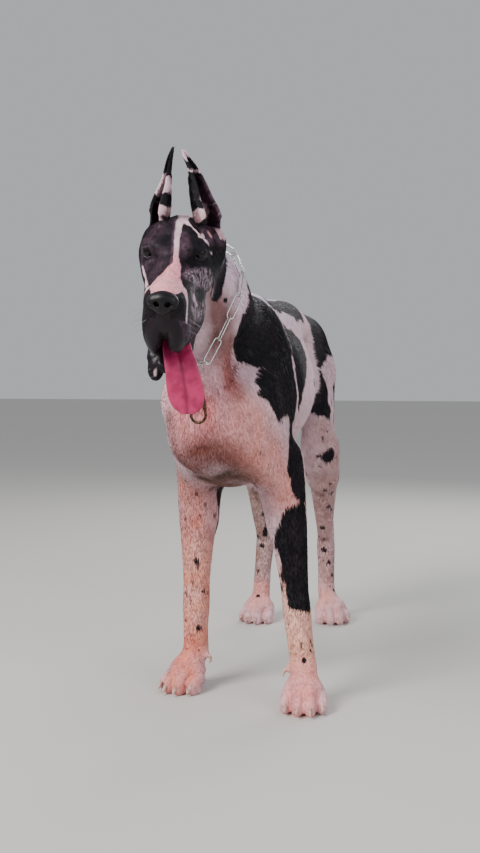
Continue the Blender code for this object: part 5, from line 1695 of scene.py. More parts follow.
class Shader:
    """A material whose nodes are added one at a time."""

    def __init__(self, name: str, finish: Finish) -> None:
        """Starts the material from a finish.

        Args:
            name: The material's name.
            finish: What its surface looks like.
        """
        self.mat = bpy.data.materials.new(name)
        self.mat.use_nodes = True
        self.tree = self.mat.node_tree
        self.surface = self.tree.nodes["Principled BSDF"]
        for socket, value in (("Base Color", (*finish.colour, 1.0)), ("Roughness", finish.roughness),
                              ("Metallic", finish.metallic), ("Specular IOR Level", finish.specular),
                              ("Sheen Weight", finish.sheen), ("Coat Weight", finish.clear),
                              ("Coat Roughness", 0.08)):
            self.surface.inputs[socket].default_value = value

    def node(self, kind: str, out: int | str, inputs: dict, **settings: str) -> Socket:
        """Adds a node.

        Args:
            kind: The node's type.
            out: Which of its outputs is wanted.
            inputs: What goes into its inputs, as values or as other nodes' outputs.
            settings: The node's own settings.

        Returns:
            The wanted output.
        """
        node = self.tree.nodes.new(kind)
        for key, value in settings.items():
            setattr(node, key, value)
        for key, value in inputs.items():
            if isinstance(value, Socket):
                self.tree.links.new(value, node.inputs[key])
            else:
                node.inputs[key].default_value = value
        return node.outputs[out]

    def number(self, name: str) -> Socket:
        """Reads a number kept on the mesh."""
        return self.node("ShaderNodeAttribute", "Fac", {}, attribute_name=name)

    def triple(self, name: str) -> Socket:
        """Reads three numbers kept on the mesh."""
        return self.node("ShaderNodeAttribute", "Vector", {}, attribute_name=name)

    def place(self) -> Socket:
        """Reads the place on the object."""
        return self.node("ShaderNodeTexCoord", "Object", {})

    def math(self, operation: str, a: Input, b: Input = 0.0) -> Socket:
        """Works out a sum, product or comparison."""
        return self.node("ShaderNodeMath", 0, {0: a, 1: b}, operation=operation)

    def times(self, a: Input, b: Input) -> Socket:
        """Multiplies two numbers."""
        return self.math("MULTIPLY", a, b)

    def jitter(self, vector: Socket, size: float, *kind: float) -> Socket:
        """Adds smooth noise about zero, of the given size from its lowest to its highest."""
        return self.times(self.math("SUBTRACT", self.noise(vector, *kind), 0.5), size)

    def noise(self, vector: Socket, scale: float, detail: float = 2.0, rough: float = 0.5) -> Socket:
        """Adds smooth noise from 0 to 1."""
        return self.node("ShaderNodeTexNoise", "Fac",
                         {"Vector": vector, "Scale": scale, "Detail": detail, "Roughness": rough})

    def ramp(self, value: Input, low: float, high: float, start: float = 0.0, end: float = 1.0) -> Socket:
        """Turns a range into another, smoothly and without passing its ends.

        Args:
            value: What is turned.
            low: Where its range starts.
            high: Where its range ends.
            start: What low becomes.
            end: What high becomes.

        Returns:
            The turned value.
        """
        return self.node("ShaderNodeMapRange", "Result", {"Value": value, "From Min": low, "From Max": high,
                                                          "To Min": start, "To Max": end},
                         interpolation_type="SMOOTHSTEP")

    def mix(self, share: Input, a: Paint, b: Paint, blend: str = "MIX") -> Socket:
        """Mixes two colours."""
        a, b = ((*c, 1.0) if isinstance(c, tuple) else c for c in (a, b))
        return self.node("ShaderNodeMix", 2, {0: share, 6: a, 7: b}, data_type="RGBA", blend_type=blend)

    def bump(self, height: Socket, strength: float, distance: float, under: Socket | None = None) -> Socket:
        """Roughens the surface by a height."""
        inputs = {"Height": height, "Strength": strength, "Distance": distance}
        if under is not None:
            inputs["Normal"] = under
        return self.node("ShaderNodeBump", "Normal", inputs)

    def into(self, socket: str, value: Socket) -> None:
        """Feeds a node's output into the surface."""
        self.tree.links.new(value, self.surface.inputs[socket])

    def put_on(self, obj: Object) -> Object:
        """Gives the smooth-shaded object this material."""
        obj.data.shade_smooth()
        obj.data.materials.append(self.mat)
        return obj


BLACK_COAT = srgb(13, 9, 17)
BROWN_BLACK = srgb(34, 23, 31)
# Purple-grey that the black fades to, where it is brown and where a sheen is painted.
WARM_AND_SHEEN_COAT = srgb(104, 74, 92)
LIP = srgb(26, 16, 24)


@dataclass(frozen=True)
class CoatShader:
    """The coat's colours, the same on the skin and on the tufts."""

    name: str
    finish: Finish
    on_skin: bool

    def colour(self, shader: Shader) -> Socket:
        """Builds the harlequin colours from what is kept on the mesh.

        Args:
            shader: The material that gets the nodes.

        Returns:
            The colour.
        """
        root, rag = shader.triple("root"), shader.number("rag")
        wide, thin = shader.jitter(root, 0.016, 70.0, 3.0, 0.6), shader.jitter(root, 0.005, 420.0, 2.0)
        edge = shader.math("ADD", shader.number("patch"),
                           shader.times(rag, shader.math("ADD", wide, thin)))
        dark = shader.ramp(edge, -0.0011, 0.0011)
        cells = {"Vector": root, "Scale": 62.0}
        far = shader.node("ShaderNodeTexVoronoi", "Distance", cells)
        colour = shader.node("ShaderNodeTexVoronoi", "Color", cells)
        pick, size = (shader.node("ShaderNodeSeparateColor", k, {0: colour}) for k in (0, 1))
        wobble = shader.times(shader.noise(root, 330.0, 1.0), 0.16)
        reach = shader.node("ShaderNodeMath", 0, {0: size, 1: 0.34, 2: 0.12}, operation="MULTIPLY_ADD")
        inside = shader.math("SUBTRACT", reach, shader.math("ADD", far, wobble))
        speck = shader.times(shader.math("LESS_THAN", pick, shader.number("speck")),
                            shader.ramp(inside, 0.0, 0.07))
        dark = shader.math("MAXIMUM", dark, shader.times(speck, 0.85))
        black = shader.mix(shader.ramp(shader.noise(root, 24.0, 3.0), 0.42, 0.7), BLACK_COAT, BROWN_BLACK)
        # The black fades to purple-grey: brown hair in places, painted sheen over the right brow and along
        # the left flew.
        fade = shader.times(shader.number("warm_and_sheen"), shader.ramp(shader.noise(root, 90.0, 3.0), 0.25, 0.6))
        black = shader.mix(fade, black, WARM_AND_SHEEN_COAT)
        streak = shader.ramp(shader.noise(shader.triple("lay"), 240.0, 3.0, 0.7), 0.46, 0.6)
        black = shader.mix(shader.times(shader.number("mottle"), streak), black, srgb(186, 160, 172))
        worn = shader.times(shader.ramp(shader.noise(root, 60.0, 3.0), 0.42, 0.75), 0.28)
        # The pale tone read here holds painted shade and painted highlight.
        pale = shader.mix(worn, shader.triple("tone"), srgb(150, 96, 88))
        return shader.mix(dark, pale, black)

    def build(self) -> bpy.types.Material:
        """Makes the material."""
        shader = Shader(self.name, self.finish)
        colour = self.colour(shader)
        if self.on_skin:
            root, wet = shader.triple("root"), shader.number("wet")
            colour = shader.mix(wet, colour, LIP)
            shader.into("Roughness", shader.ramp(wet, 0.0, 1.0, self.finish.roughness, 0.3))
            pores = shader.bump(shader.noise(root, 1500.0, 2.0), 0.5, 0.0003)
            shader.into("Normal", shader.bump(shader.noise(root, 260.0, 3.0), 0.35, 0.0012, pores))
        else:
            light = shader.number("shade")
            grey = shader.node("ShaderNodeCombineColor", 0, {0: light, 1: light, 2: light})
            colour = shader.mix(1.0, colour, grey, "MULTIPLY")
        shader.into("Base Color", colour)
        return shader.mat


# The coat


@dataclass(frozen=True)
class Tufts:
    """The tufts of one kind of place: their size, how far they rise, and how many there are."""

    length: float
    width: float
    rise: float
    ridge: float
    count: int


BODY_TUFTS = Tufts(0.012, 0.0019, 0.0011, 0.0006, 150000)
FACE_TUFTS = Tufts(0.0048, 0.001, 0.0005, 0.0003, 60000)
EAR_TUFTS = Tufts(0.005, 0.0011, 0.0005, 0.0003, 14000)
PAW_TUFTS = Tufts(0.006, 0.0012, 0.0006, 0.0004, 26000)
TUFTS_A_PIECE = 42000
FACE_REACH = 0.26
FACE_BACK = -0.135
EAR_FOOT = 0.036
EAR_LINE = -0.095
EAR_THICK = 0.05
EARS_HALF = 0.1
PAW_TOP = 0.115


@dataclass
class Coat:
    """The short coat: closed flat tufts that lie along the body all over the skin."""

    skin: Skin
    comb: Comb
    marks: Markings
    seed: int = 7
    scatter: float = 0.2
    sunk: float = 0.0004
    corner: float = 0.0015
    face_start: float = -0.16
    face_fade: float = 0.03
    bare_from: float = 0.4
    sole_top: float = 0.012
    sole_tilt: float = -0.3
    sizes: tuple[float, float] = (0.75, 1.2)
    rises: tuple[float, float] = (0.4, 1.3)

    def dress(self, mesh: Mesh, roots: Rows, normals: Rows, repeat: int = 1) -> None:
        """Keeps on the mesh what its material reads.

        Args:
            mesh: The skin's or the tufts' mesh.
            roots: Where the coat is read, one a row.
            normals: The skin's outward directions there.
            repeat: How many places of the mesh share each row.
        """
        head = in_head(roots)
        near = np.linalg.norm(head, axis=1) < FACE_REACH
        face = np.clip((head[:, 1] - self.face_start) / self.face_fade, 0, 1) * near
        kept = {"root": roots, "patch": self.marks.black(roots), "tone": self.marks.tone(roots, normals),
                "speck": self.marks.specks(roots) * (1 - face), "mottle": self.marks.mottle(roots),
                "warm_and_sheen": self.marks.warm_and_sheen(roots),
                "lay": head * (1.0, 1.0, 0.22), "rag": 1 - 0.75 * face}
        for name, values in kept.items():
            put_numbers(mesh, name, np.repeat(values, repeat, axis=0))

    def sown(self) -> list[tuple[Tufts, Rows, Rows]]:
        """Strews roots over the skin, by kind: places and outward directions."""
        mesh = self.skin.obj.data
        mesh.calc_loop_triangles()
        tris = np.empty(len(mesh.loop_triangles) * 3, np.int32)
        mesh.loop_triangles.foreach_get("vertices", tris)
        tris, points, normals = tris.reshape(-1, 3), places_of(mesh), normals_of(mesh)
        corners = points[tris]
        middles = corners.mean(1)
        a, b, c = corners.transpose(1, 0, 2)
        areas = np.linalg.norm(np.cross(b - a, c - a), axis=1) / 2
        areas *= self.marks.wet(middles) < self.bare_from
        areas *= ~((middles[:, 2] < self.sole_top) & (normals[tris].mean(1)[:, 2] < self.sole_tilt))
        head = in_head(middles)
        s, f, u = head.T
        ear = (u > EAR_FOOT) & (np.abs(f - EAR_LINE) < EAR_THICK) & (np.abs(s) < EARS_HALF)
        face = (np.linalg.norm(head, axis=1) < FACE_REACH) & (f > FACE_BACK) & ~ear
        paw = middles[:, 2] < PAW_TOP
        rng = np.random.default_rng(self.seed)
        found = []
        for kind, place in ((BODY_TUFTS, ~(ear | face | paw)), (FACE_TUFTS, face), (EAR_TUFTS, ear),
                            (PAW_TUFTS, paw)):
            share = areas * place
            pick = rng.choice(len(areas), kind.count, p=share / share.sum())
            weights = rng.dirichlet((1, 1, 1), kind.count)
            root = (corners[pick] * weights[:, :, None]).sum(1)
            up = (normals[tris[pick]] * weights[:, :, None]).sum(1)
            found.append((kind, root, up / np.linalg.norm(up, axis=1, keepdims=True)))
        return found

    def tetras(self, kind: Tufts, roots: Rows, ups: Rows) -> tuple[Rows, Rows]:
        """Shapes the tufts.

        Args:
            kind: The tufts' sizes.
            roots: Their roots.
            ups: The skin's outward directions there.

        Returns:
            Four places for each tuft, and each tuft's place on the unwrap.
        """
        rng = np.random.default_rng(self.seed + kind.count)
        ways, unwrap = self.comb.follow(roots, ups)
        turn = rng.normal(0, self.scatter, len(roots))[:, None]
        sides = np.cross(ups, ways)
        ways, sides = ways * np.cos(turn) + sides * np.sin(turn), sides * np.cos(turn) - ways * np.sin(turn)
        size = rng.uniform(*self.sizes, len(roots))[:, None]
        length, half = kind.length * size, kind.width * size / 2
        start = roots - ways * length * 0.1 - ups * self.sunk
        tips = self.skin.flesh.settle(roots + ways * length, self.skin.depth_at(roots))
        tips += ups * kind.rise * rng.uniform(*self.rises, len(roots))[:, None]
        ridge = roots + ways * length * 0.22 + ups * kind.ridge
        return np.stack((start + sides * half, start - sides * half, ridge, tips), 1), unwrap

    def build(self) -> list[Object]:
        """Makes the coat's pieces."""
        parts = [(*self.tetras(kind, root, up), root, up) for kind, root, up in self.sown()]
        shapes, unwraps, roots, ups = (np.concatenate(column) for column in zip(*parts))
        order = np.argsort(roots[:, 1] + 0.5 * roots[:, 2])
        material = CoatShader("coat_tufts", Finish(PALE_COAT, 0.58, specular=0.22), False).build()
        parts = np.array_split(order, math.ceil(len(order) / TUFTS_A_PIECE))
        return [self.piece("coat_%d" % (number + 1), shapes[part], unwraps[part],
                           roots[part], ups[part], material)
                for number, part in enumerate(parts)]

    def piece(self, name: str, shapes: Rows, unwraps: Rows, roots: Rows, ups: Rows,
              material: bpy.types.Material) -> Object:
        """Makes one piece of the coat from its tufts' places.

        Args:
            name: Its name.
            shapes: Four places for each tuft.
            unwraps: Each tuft's place on the unwrap.
            roots: The roots.
            ups: The skin's outward directions there.
            material: The tufts' material.

        Returns:
            The piece.
        """
        count = len(shapes)
        faces = np.array(((0, 2, 3), (1, 3, 2), (0, 1, 2), (0, 3, 1)))
        faces = (faces[None] + 4 * np.arange(count)[:, None, None]).reshape(-1, 3)
        obj = object_from_arrays(name, shapes.reshape(-1, 3), faces)
        corners = np.array(((-1, -1), (1, -1), (0, 0), (0, 1))) * self.corner
        spots = (unwraps[:, None] + corners).reshape(-1, 2)[faces.ravel()]
        layer = obj.data.uv_layers.new(name="OFBake")
        layer.data.foreach_set("uv", np.ascontiguousarray(spots, np.float32).ravel())
        self.dress(obj.data, roots, ups, 4)
        rng = np.random.default_rng(self.seed + count)
        put_numbers(obj.data, "shade", np.repeat(rng.uniform(0.9, 1.08, count), 4))
        obj.data.materials.append(material)
        return obj


# The face's own parts


@dataclass
class Nose:
    """The nose leather: a broad pad with a wing round each nostril and a slit below its middle."""

    def flesh(self) -> Flesh:
        """Gathers the nose's masses and its nostrils."""
        masses = [
            head_egg((0, 0.146, -0.034), (0.022, 0.0165, 0.0145), blend=0.008),
            head_egg((0, 0.15, -0.048), (0.0145, 0.011, 0.012), blend=0.008),
        ]
        for w in (1, -1):
            nostril = ((w * 0.0085, 0.151, -0.038), (w * 0.0108, 0.163, -0.0385), (w * 0.0172, 0.16, -0.0405),
                       (w * 0.025, 0.152, -0.044))
            masses.append(head_egg((w * 0.0155, 0.147, -0.038), (0.0115, 0.013, 0.0125), blend=0.006))
            masses.append(carving(Limb([on_head(*p) for p in nostril],
                                       (0.004, 0.0052, 0.0036, 0.0022), 0.002)))
        masses.append(carving(head_rod((0, 0.164, -0.04), (0, 0.16, -0.062), 0.0014, 0.0014, 0.002)))
        return Flesh(masses)

    def build(self) -> Object:
        """Makes the nose and its pebbled, moist surface."""
        obj = flesh_mesh("nose_leather", self.flesh(), 0.0008)
        shader = Shader("nose_leather", Finish(srgb(8, 5, 10), 0.4, specular=0.3, clear=0.05))
        place = shader.place()
        cells = shader.node("ShaderNodeTexVoronoi", "Distance", {"Vector": place, "Scale": 900.0})
        shader.into("Normal", shader.bump(cells, 0.45, 0.0004))
        return shader.put_on(obj)


@dataclass
class Eye:
    """One eyeball with its iris and pupil."""

    side: Side

    def build(self) -> Object:
        """Makes the eyeball with its pole where it looks."""
        bm = bmesh.new()
        outward = math.radians(-12) * self.side.value
        look = Matrix.Rotation(math.pi / 2, 4, "X") @ Matrix.Rotation(outward, 4, "Y")
        place = Matrix.Translation(on_head(*Lids(self.side).centre())) @ HEAD_TURN.to_4x4() @ look
        bmesh.ops.create_uvsphere(bm, u_segments=48, v_segments=32, radius=EYE_RADIUS, matrix=place)
        obj = new_object("eyeball_" + self.side.word, bm)
        ahead = np.array(place.to_3x3() @ Vector((0, 0, 1)))
        away = places_of(obj.data) - np.array(place.translation)
        angle = np.degrees(np.arccos(np.clip(away @ ahead / EYE_RADIUS, -1, 1)))
        put_numbers(obj.data, "angle", angle)
        shader = Shader("eye_" + self.side.word, Finish(srgb(30, 18, 14), 0.16, specular=0.25, clear=0.08))
        angle = shader.number("angle")
        ring = shader.mix(shader.ramp(angle, 17.0, 20.0), srgb(3, 2, 3), srgb(20, 11, 9))
        ring = shader.mix(shader.ramp(angle, 34.0, 40.0), ring, srgb(9, 6, 7))
        shader.into("Base Color", shader.mix(shader.ramp(angle, 52.0, 60.0), ring, srgb(30, 19, 20)))
        return shader.put_on(obj)


@dataclass(frozen=True)
class Tongue:
    """The long tongue from inside the mouth over the lip to its tip."""

    rows: tuple[Station, ...] = (
        (0.002, -0.005, -0.118, 0.016, 0.005), (0.008, 0.035, -0.134, 0.022, 0.006),
        (0.015, 0.075, -0.15, 0.026, 0.0065), (0.0235, 0.102, -0.164, 0.029, 0.0065),
        (0.03, 0.115, -0.183, 0.031, 0.006), (0.0345, 0.123, -0.203, 0.033, 0.0055),
        (0.038, 0.131, -0.222, 0.032, 0.005), (0.04, 0.137, -0.237, 0.025, 0.0045),
        (0.041, 0.141, -0.247, 0.012, 0.0035))
    groove: float = 0.0024
    groove_half: float = 0.0035
    cupped: float = 0.1

    def build(self, count: int = 48) -> Object:
        """Makes the tongue with its groove, painted shade down the groove, and its wet, fine-grained surface.

        Args:
            count: How many points it has round.

        Returns:
            The tongue.
        """
        bm, rings, depths = bmesh.new(), [], []
        path = smooth_path(self.rows, 6)
        for i, row in enumerate(path):
            spot = Vector(row[:3])
            along = (Vector(path[min(i + 1, len(path) - 1)][:3])
                     - Vector(path[max(i - 1, 0)][:3])).normalized()
            top = along.cross(Vector((1, 0, 0))).normalized()
            ring = []
            for step in range(count):
                turn = 2 * math.pi * step / count
                x, y = math.cos(turn) * row[3], math.sin(turn) * row[4]
                groove = self.groove * math.exp(-((x / self.groove_half) ** 2)) if y > 0 else 0.0
                place = spot - Vector((x, 0, 0)) - top * (y + self.cupped * x * x / row[3] - groove)
                ring.append(on_head(*place))
                depths.append(groove / self.groove)
            rings.append(ring)
        loft(bm, rings)
        split_wide_faces(bm)
        obj = new_object("tongue_skin", bm)
        put_numbers(obj.data, "groove", np.array(depths + [0.0] * (len(obj.data.vertices) - len(depths))))
        shader = Shader("tongue", Finish(srgb(186, 46, 92), 0.38, specular=0.4, clear=0.12))
        place = shader.place()
        tone = shader.mix(shader.ramp(shader.noise(place, 60.0, 3.0), 0.35, 0.7), srgb(190, 50, 100),
                          srgb(160, 36, 80))
        # Painted shade: the tongue is darker down its middle groove.
        tone = shader.mix(shader.times(shader.number("groove"), 0.6), tone, srgb(104, 20, 52))
        shader.into("Base Color", tone)
        buds = shader.node("ShaderNodeTexVoronoi", "Distance", {"Vector": place, "Scale": 1100.0})
        shader.into("Normal", shader.bump(buds, 0.35, 0.0003))
        return shader.put_on(obj)


def horn(bm: BMesh, path: Sequence[Vector], radii: Sequence[float], sides: int = 12,
         taller: float = 1.15) -> None:
    """Adds a bent, tapered horn with closed ends to a bmesh.

    Args:
        bm: The bmesh.
        path: Places along its middle.
        radii: Its radius at each.
        sides: How many sides it has round.
        taller: How tall it is, as a share of its width.
    """
    rows = smooth_path(np.column_stack((np.array([tuple(p) for p in path]), radii)), 4)
    rings = []
    for i, row in enumerate(rows):
        along = Vector(rows[min(i + 1, len(rows) - 1)][:3] - rows[max(i - 1, 0)][:3]).normalized()
        across = along.cross(Vector((0, 0, 1))).normalized()
        top = across.cross(along)
        turns = [2 * math.pi * k / sides for k in range(sides)]
        rings.append([Vector(row[:3]) + (across * math.cos(t) + top * math.sin(t) * taller) * row[3]
                      for t in turns])
    loft(bm, rings)


@dataclass
class Claws:
    """The claws of all four paws, and the forelegs' dewclaws."""

    def build(self) -> Object:
        """Makes the claws as one object."""
        bm = bmesh.new()
        for leg in FORELEGS + HINDLEGS:
            paw = leg.paw
            for spread, reach in zip(paw.spread, paw.reach):
                path = [Vector(paw.at(spread * w, reach + a, z)) for w, a, z in
                        ((1.0, -0.002, 0.019), (1.01, 0.01, 0.0165), (1.02, 0.0175, 0.0115),
                         (1.02, 0.0215, 0.006))]
                horn(bm, path, (0.0048, 0.0044, 0.0033, 0.001))
        for leg in FORELEGS:
            root, tip = (Vector(p) for p in leg.dewclaw())
            w, along = leg.side.value, (tip - root).normalized()
            path = [tip - along * 0.003, tip + along * 0.008,
                    tip + along * 0.012 + Vector((w * 0.001, -0.002, -0.005)),
                    tip + along * 0.013 + Vector((w * 0.004, -0.004, -0.01))]
            horn(bm, path, (0.0044, 0.0039, 0.0028, 0.0009))
        split_wide_faces(bm)
        obj = new_object("claws", bm)
        shader = Shader("claw_horn", Finish(srgb(214, 178, 166), 0.38, specular=0.5))
        worn = shader.ramp(shader.noise(shader.place(), 120.0, 2.0), 0.4, 0.7)
        shader.into("Base Color", shader.mix(worn, srgb(216, 180, 168), srgb(160, 122, 112)))
        return shader.put_on(obj)


@dataclass
class Whiskers:
    """The sparse whiskers of the muzzle, brows and chin."""

    flesh: Flesh
    seed: int = 3

    def build(self) -> Object:
        """Makes the whiskers as thin tapered hairs that sweep back."""
        bm, rng = bmesh.new(), np.random.default_rng(self.seed)
        roots = [(0.04, 0.1, -0.068), (0.041, 0.112, -0.08), (0.04, 0.096, -0.092), (0.042, 0.082, -0.078),
                 (0.034, 0.137, -0.076), (0.038, 0.118, -0.098), (0.03, 0.088, -0.186), (0.026, 0.096, -0.2)]
        for w in (1, -1):
            for s, f, u in roots:
                start = self.flesh.settle(np.array([on_head(w * s, f, u)]), 0.0006)[0]
                length = rng.uniform(0.026, 0.042)
                way = HEAD_TURN @ Vector((w * rng.uniform(0.7, 1.0), rng.uniform(0.1, 0.6),
                                          rng.uniform(-0.7, 0.0)))
                way.normalize()
                path = [Vector(start) + way * length * t - Vector((0, 0, 0.006)) * t * t
                        for t in (0, 0.4, 0.75, 1)]
                horn(bm, path, (0.0003, 0.00026, 0.00018, 0.00006), 5, 1.0)
        return Shader("whisker_hair", Finish(srgb(150, 140, 142), 0.45)).put_on(new_object("whiskers", bm))


# What it wears


CHAIN_MIDDLE = Vector((-0.042, -0.195, 0.81))
CHAIN_UP = Vector((0.0, 0.41, 0.91)).normalized()


def taut(points: Sequence[tuple[float, float]]) -> list[tuple[float, float]]:
    """Finds the convex outline of flat points.

    Args:
        points: Flat points, in any order.

    Returns:
        The points of the outline, in order round it.
    """
    ordered, outline = sorted(points), []
    for row in (ordered, ordered[::-1]):
        side = []
        for p in row:
            while len(side) > 1 and (side[-1][0] - side[-2][0]) * (p[1] - side[-2][1]) <= (
                    side[-1][1] - side[-2][1]) * (p[0] - side[-2][0]):
                side.pop()
            side.append(p)
        outline += side[:-1]
    return outline


def stadium(middle: Vector, along: Vector, across: Vector, half: float, width: float,
            arc: int = 4) -> list[Vector]:
    """Finds points round a long link's centre line.

    Args:
        middle: The link's middle.
        along: Its long direction.
        across: Its short direction.
        half: Half of its length.
        width: Half of its width.
        arc: How many steps each round end has.

    Returns:
        The points, in order.
    """
    points = []
    for end in (1, -1):
        hub = middle + along * (half - width) * end
        for k in range(arc + 1):
            turn = math.pi * k / arc
            points.append(hub + (across * math.cos(turn) + along * math.sin(turn)) * width * end)
    return points


def tube_loop(bm: BMesh, path: Sequence[Vector], flat: Vector, radius: float, sides: int = 12) -> None:
    """Adds a closed tube along a flat closed path.

    Args:
        bm: The bmesh.
        path: Places round the path.
        flat: The direction square to the path's plane.
        radius: The tube's radius.
        sides: How many sides it has round.
    """
    rings = []
    for i, spot in enumerate(path):
        along = (path[(i + 1) % len(path)] - path[i - 1]).normalized()
        out = along.cross(flat).normalized()
        turns = [2 * math.pi * (k + 0.5) / sides for k in range(sides)]
        rings.append([spot + (out * math.cos(t) + flat * math.sin(t)) * radius for t in turns])
    loft(bm, rings, closed=False)


class Link:
    """One long link between two places where it meets its neighbours, turned about its own length."""

    wire = 0.0032
    half_width = 0.0072

    def __init__(self, start: Vector, end: Vector, lean: int) -> None:
        """Sets the link's ends and which way it leans.

        Args:
            start: Where it meets the link before it.
            end: Where it meets the next.
            lean: 1 or -1, the way it is turned about its length.
        """
        self.middle, self.along = (start + end) / 2, (end - start).normalized()
        self.length = (end - start).length
        normal = Vector((1, 0, 0)).cross(CHAIN_UP)
        out = self.along.cross(normal).normalized()
        if (self.middle - CHAIN_MIDDLE).dot(out) < 0:
            out = -out
        self.across = (out + normal * lean).normalized()
        self.past = [self.wire / 2, self.wire / 2]

    def path(self, arc: int = 4) -> list[Vector]:
        """Finds the link's centre line, with the room at each end that its neighbour needs."""
        middle = self.middle + self.along * (self.past[1] - self.past[0]) / 2
        return stadium(middle, self.along, self.across,
                       (self.length + sum(self.past)) / 2, self.half_width, arc)

    def room_to(self, other: "Link") -> float:
        """Measures the clear distance between this link's wire and the other's."""
        mine, theirs = (np.array([a.lerp(b, t / 6) for a, b in zip(path[-1:] + path, path) for t in range(6)])
                        for path in (self.path(), other.path()))
        return np.sqrt(np.square(mine[:, None] - theirs).sum(2)).min() - self.wire


@dataclass
class ChainCollar:
    """The steel chain round the neck, the long link that hangs from it, and the bronze snap hook."""

    flesh: Flesh
    links: int = 14
    lift: float = 0.0116
    saddle: float = 0.018
    aside: float = 0.01
    slide: float = 0.008
    play: float = 0.0006
    nudge: float = 0.0002
    hanger: float = 0.054
    hook_wire: float = 0.0027
    gate: tuple[tuple[float, float], ...] = (
        (0.16, 1.0), (0.165, 1.3), (0.18, 1.35), (0.5, 1.35), (0.51, 1.2),
        (0.53, 1.2), (0.54, 1.35), (0.78, 1.35), (0.795, 1.3), (0.8, 1.0))

    def meetings(self) -> list[Vector]:
        """Finds where the links meet: a loop drawn taut round the neck, a little off its skin."""
        across, span, flat = Vector((1, 0, 0)), np.linspace(0.03, 0.2, 400), []
        for turn in np.radians(np.arange(0, 360, 5)):
            away = across * math.cos(turn) + CHAIN_UP * math.sin(turn)
            d = self.flesh.distance(np.array(CHAIN_MIDDLE) + span[:, None] * np.array(away))
            reach = span[np.argmax(d > self.lift)]
            flat.append((math.cos(turn) * reach, math.sin(turn) * reach))
        bottom = min(flat, key=lambda p: p[1])
        bottom = (bottom[0] + self.aside, bottom[1])
        flat += [(bottom[0] + w * self.saddle, bottom[1]) for w in (1, -1)]
        hull = taut(flat)
        ends = np.array(hull + hull[:1])
        marks = np.concatenate(([0], np.cumsum(np.linalg.norm(np.diff(ends, axis=0), axis=1))))
        round_it = np.linspace(0, marks[-1], 400)
        spread = np.hypot(np.interp(round_it, marks, ends[:, 0]) - bottom[0],
                          np.interp(round_it, marks, ends[:, 1]) - bottom[1])
        lowest = round_it[np.argmin(spread)]
        spots = []
        for i in range(self.links):
            at = (lowest + marks[-1] * (i + 0.5) / self.links) % marks[-1]
            spots.append(CHAIN_MIDDLE + across * float(np.interp(at, marks, ends[:, 0]))
                         + CHAIN_UP * float(np.interp(at, marks, ends[:, 1])))
        return spots

    def fitted(self) -> list[Link]:
        """Shapes the links, each turned a quarter against the next, with play between them."""
        spots = self.meetings()
        pairs = zip(spots, spots[1:] + spots[:1])
        links = [Link(a, b, 1 if i % 2 else -1) for i, (a, b) in enumerate(pairs)]
        for one, two in zip(links, links[1:] + links[:1]):
            while one.room_to(two) < self.play:
                one.past[1] += self.nudge
                two.past[0] += self.nudge
        return links

    def build(self) -> tuple[Object, Object, Object]:
        """Makes the chain, the hanging link and the hook."""
        links, bm = self.fitted(), bmesh.new()
        for link in links:
            tube_loop(bm, link.path(10), link.along.cross(link.across), Link.wire / 2)
        chain = new_object("chain", bm)
        low, down, half = links[-1], Vector((0, 0, -1)), self.hanger / 2
        hang = low.middle + low.across * Link.half_width * (1 if low.across.z < 0 else -1)
        hang += low.along * self.slide * (1 if low.along.x > 0 else -1)
        middle, bm = hang + down * (half - Link.wire - self.play), bmesh.new()
        tube_loop(bm, stadium(middle, down, Vector((0, 1, 0)), half, Link.half_width, 10), Vector((1, 0, 0)),
                  Link.wire / 2)
        hanger = new_object("hanger", bm)
        hook = self.hook(middle + down * (half - Link.wire / 2 - self.hook_wire - self.play))
        steel = Shader("steel", Finish(srgb(204, 202, 200), 0.24, metallic=1.0))
        steel.into("Roughness", steel.ramp(steel.noise(steel.place(), 300.0, 3.0), 0.3, 0.8, 0.16, 0.42))
        bronze = Shader("bronze", Finish(srgb(92, 74, 58), 0.42, metallic=1.0))
        rust = bronze.ramp(bronze.noise(bronze.place(), 260.0, 4.0), 0.4, 0.7)
        bronze.into("Base Color", bronze.mix(rust, srgb(104, 84, 64), srgb(44, 34, 32)))
        return steel.put_on(chain), steel.put_on(hanger), bronze.put_on(hook)

    def hook(self, top: Vector, head: float = 0.008, foot: float = 0.0145, height: float = 0.072) -> Object:
        """Makes the pear-shaped snap hook: a bent bar, and the gate that closes its long side.

        Args:
            top: Its highest point.
            head: The radius of its upper bend.
            foot: The radius of its lower bend.
            height: Its whole height.

        Returns:
            The hook.
        """
        wire = self.hook_wire
        path = [top + Vector((math.cos(t) * head, 0, math.sin(t) * head - head))
                for t in np.linspace(0, math.pi, 17)]
        low = top + Vector((0, 0, foot - height + 2 * wire))
        path += [low + Vector((math.cos(t), 0, math.sin(t))) * foot
                 for t in np.linspace(math.pi, 2 * math.pi, 25)]
        bm = bmesh.new()
        tube_loop(bm, path, Vector((0, 1, 0)), wire, 16)
        a, b, rings = path[0], path[-1], []
        for t, wide in self.gate:
            turns = [2 * math.pi * k / 20 for k in range(20)]
            rings.append([a.lerp(b, t) + Vector((math.cos(k), math.sin(k), 0)) * wire * wide for k in turns])
        loft(bm, rings)
        return new_object("snap_hook", bm)


# The picture


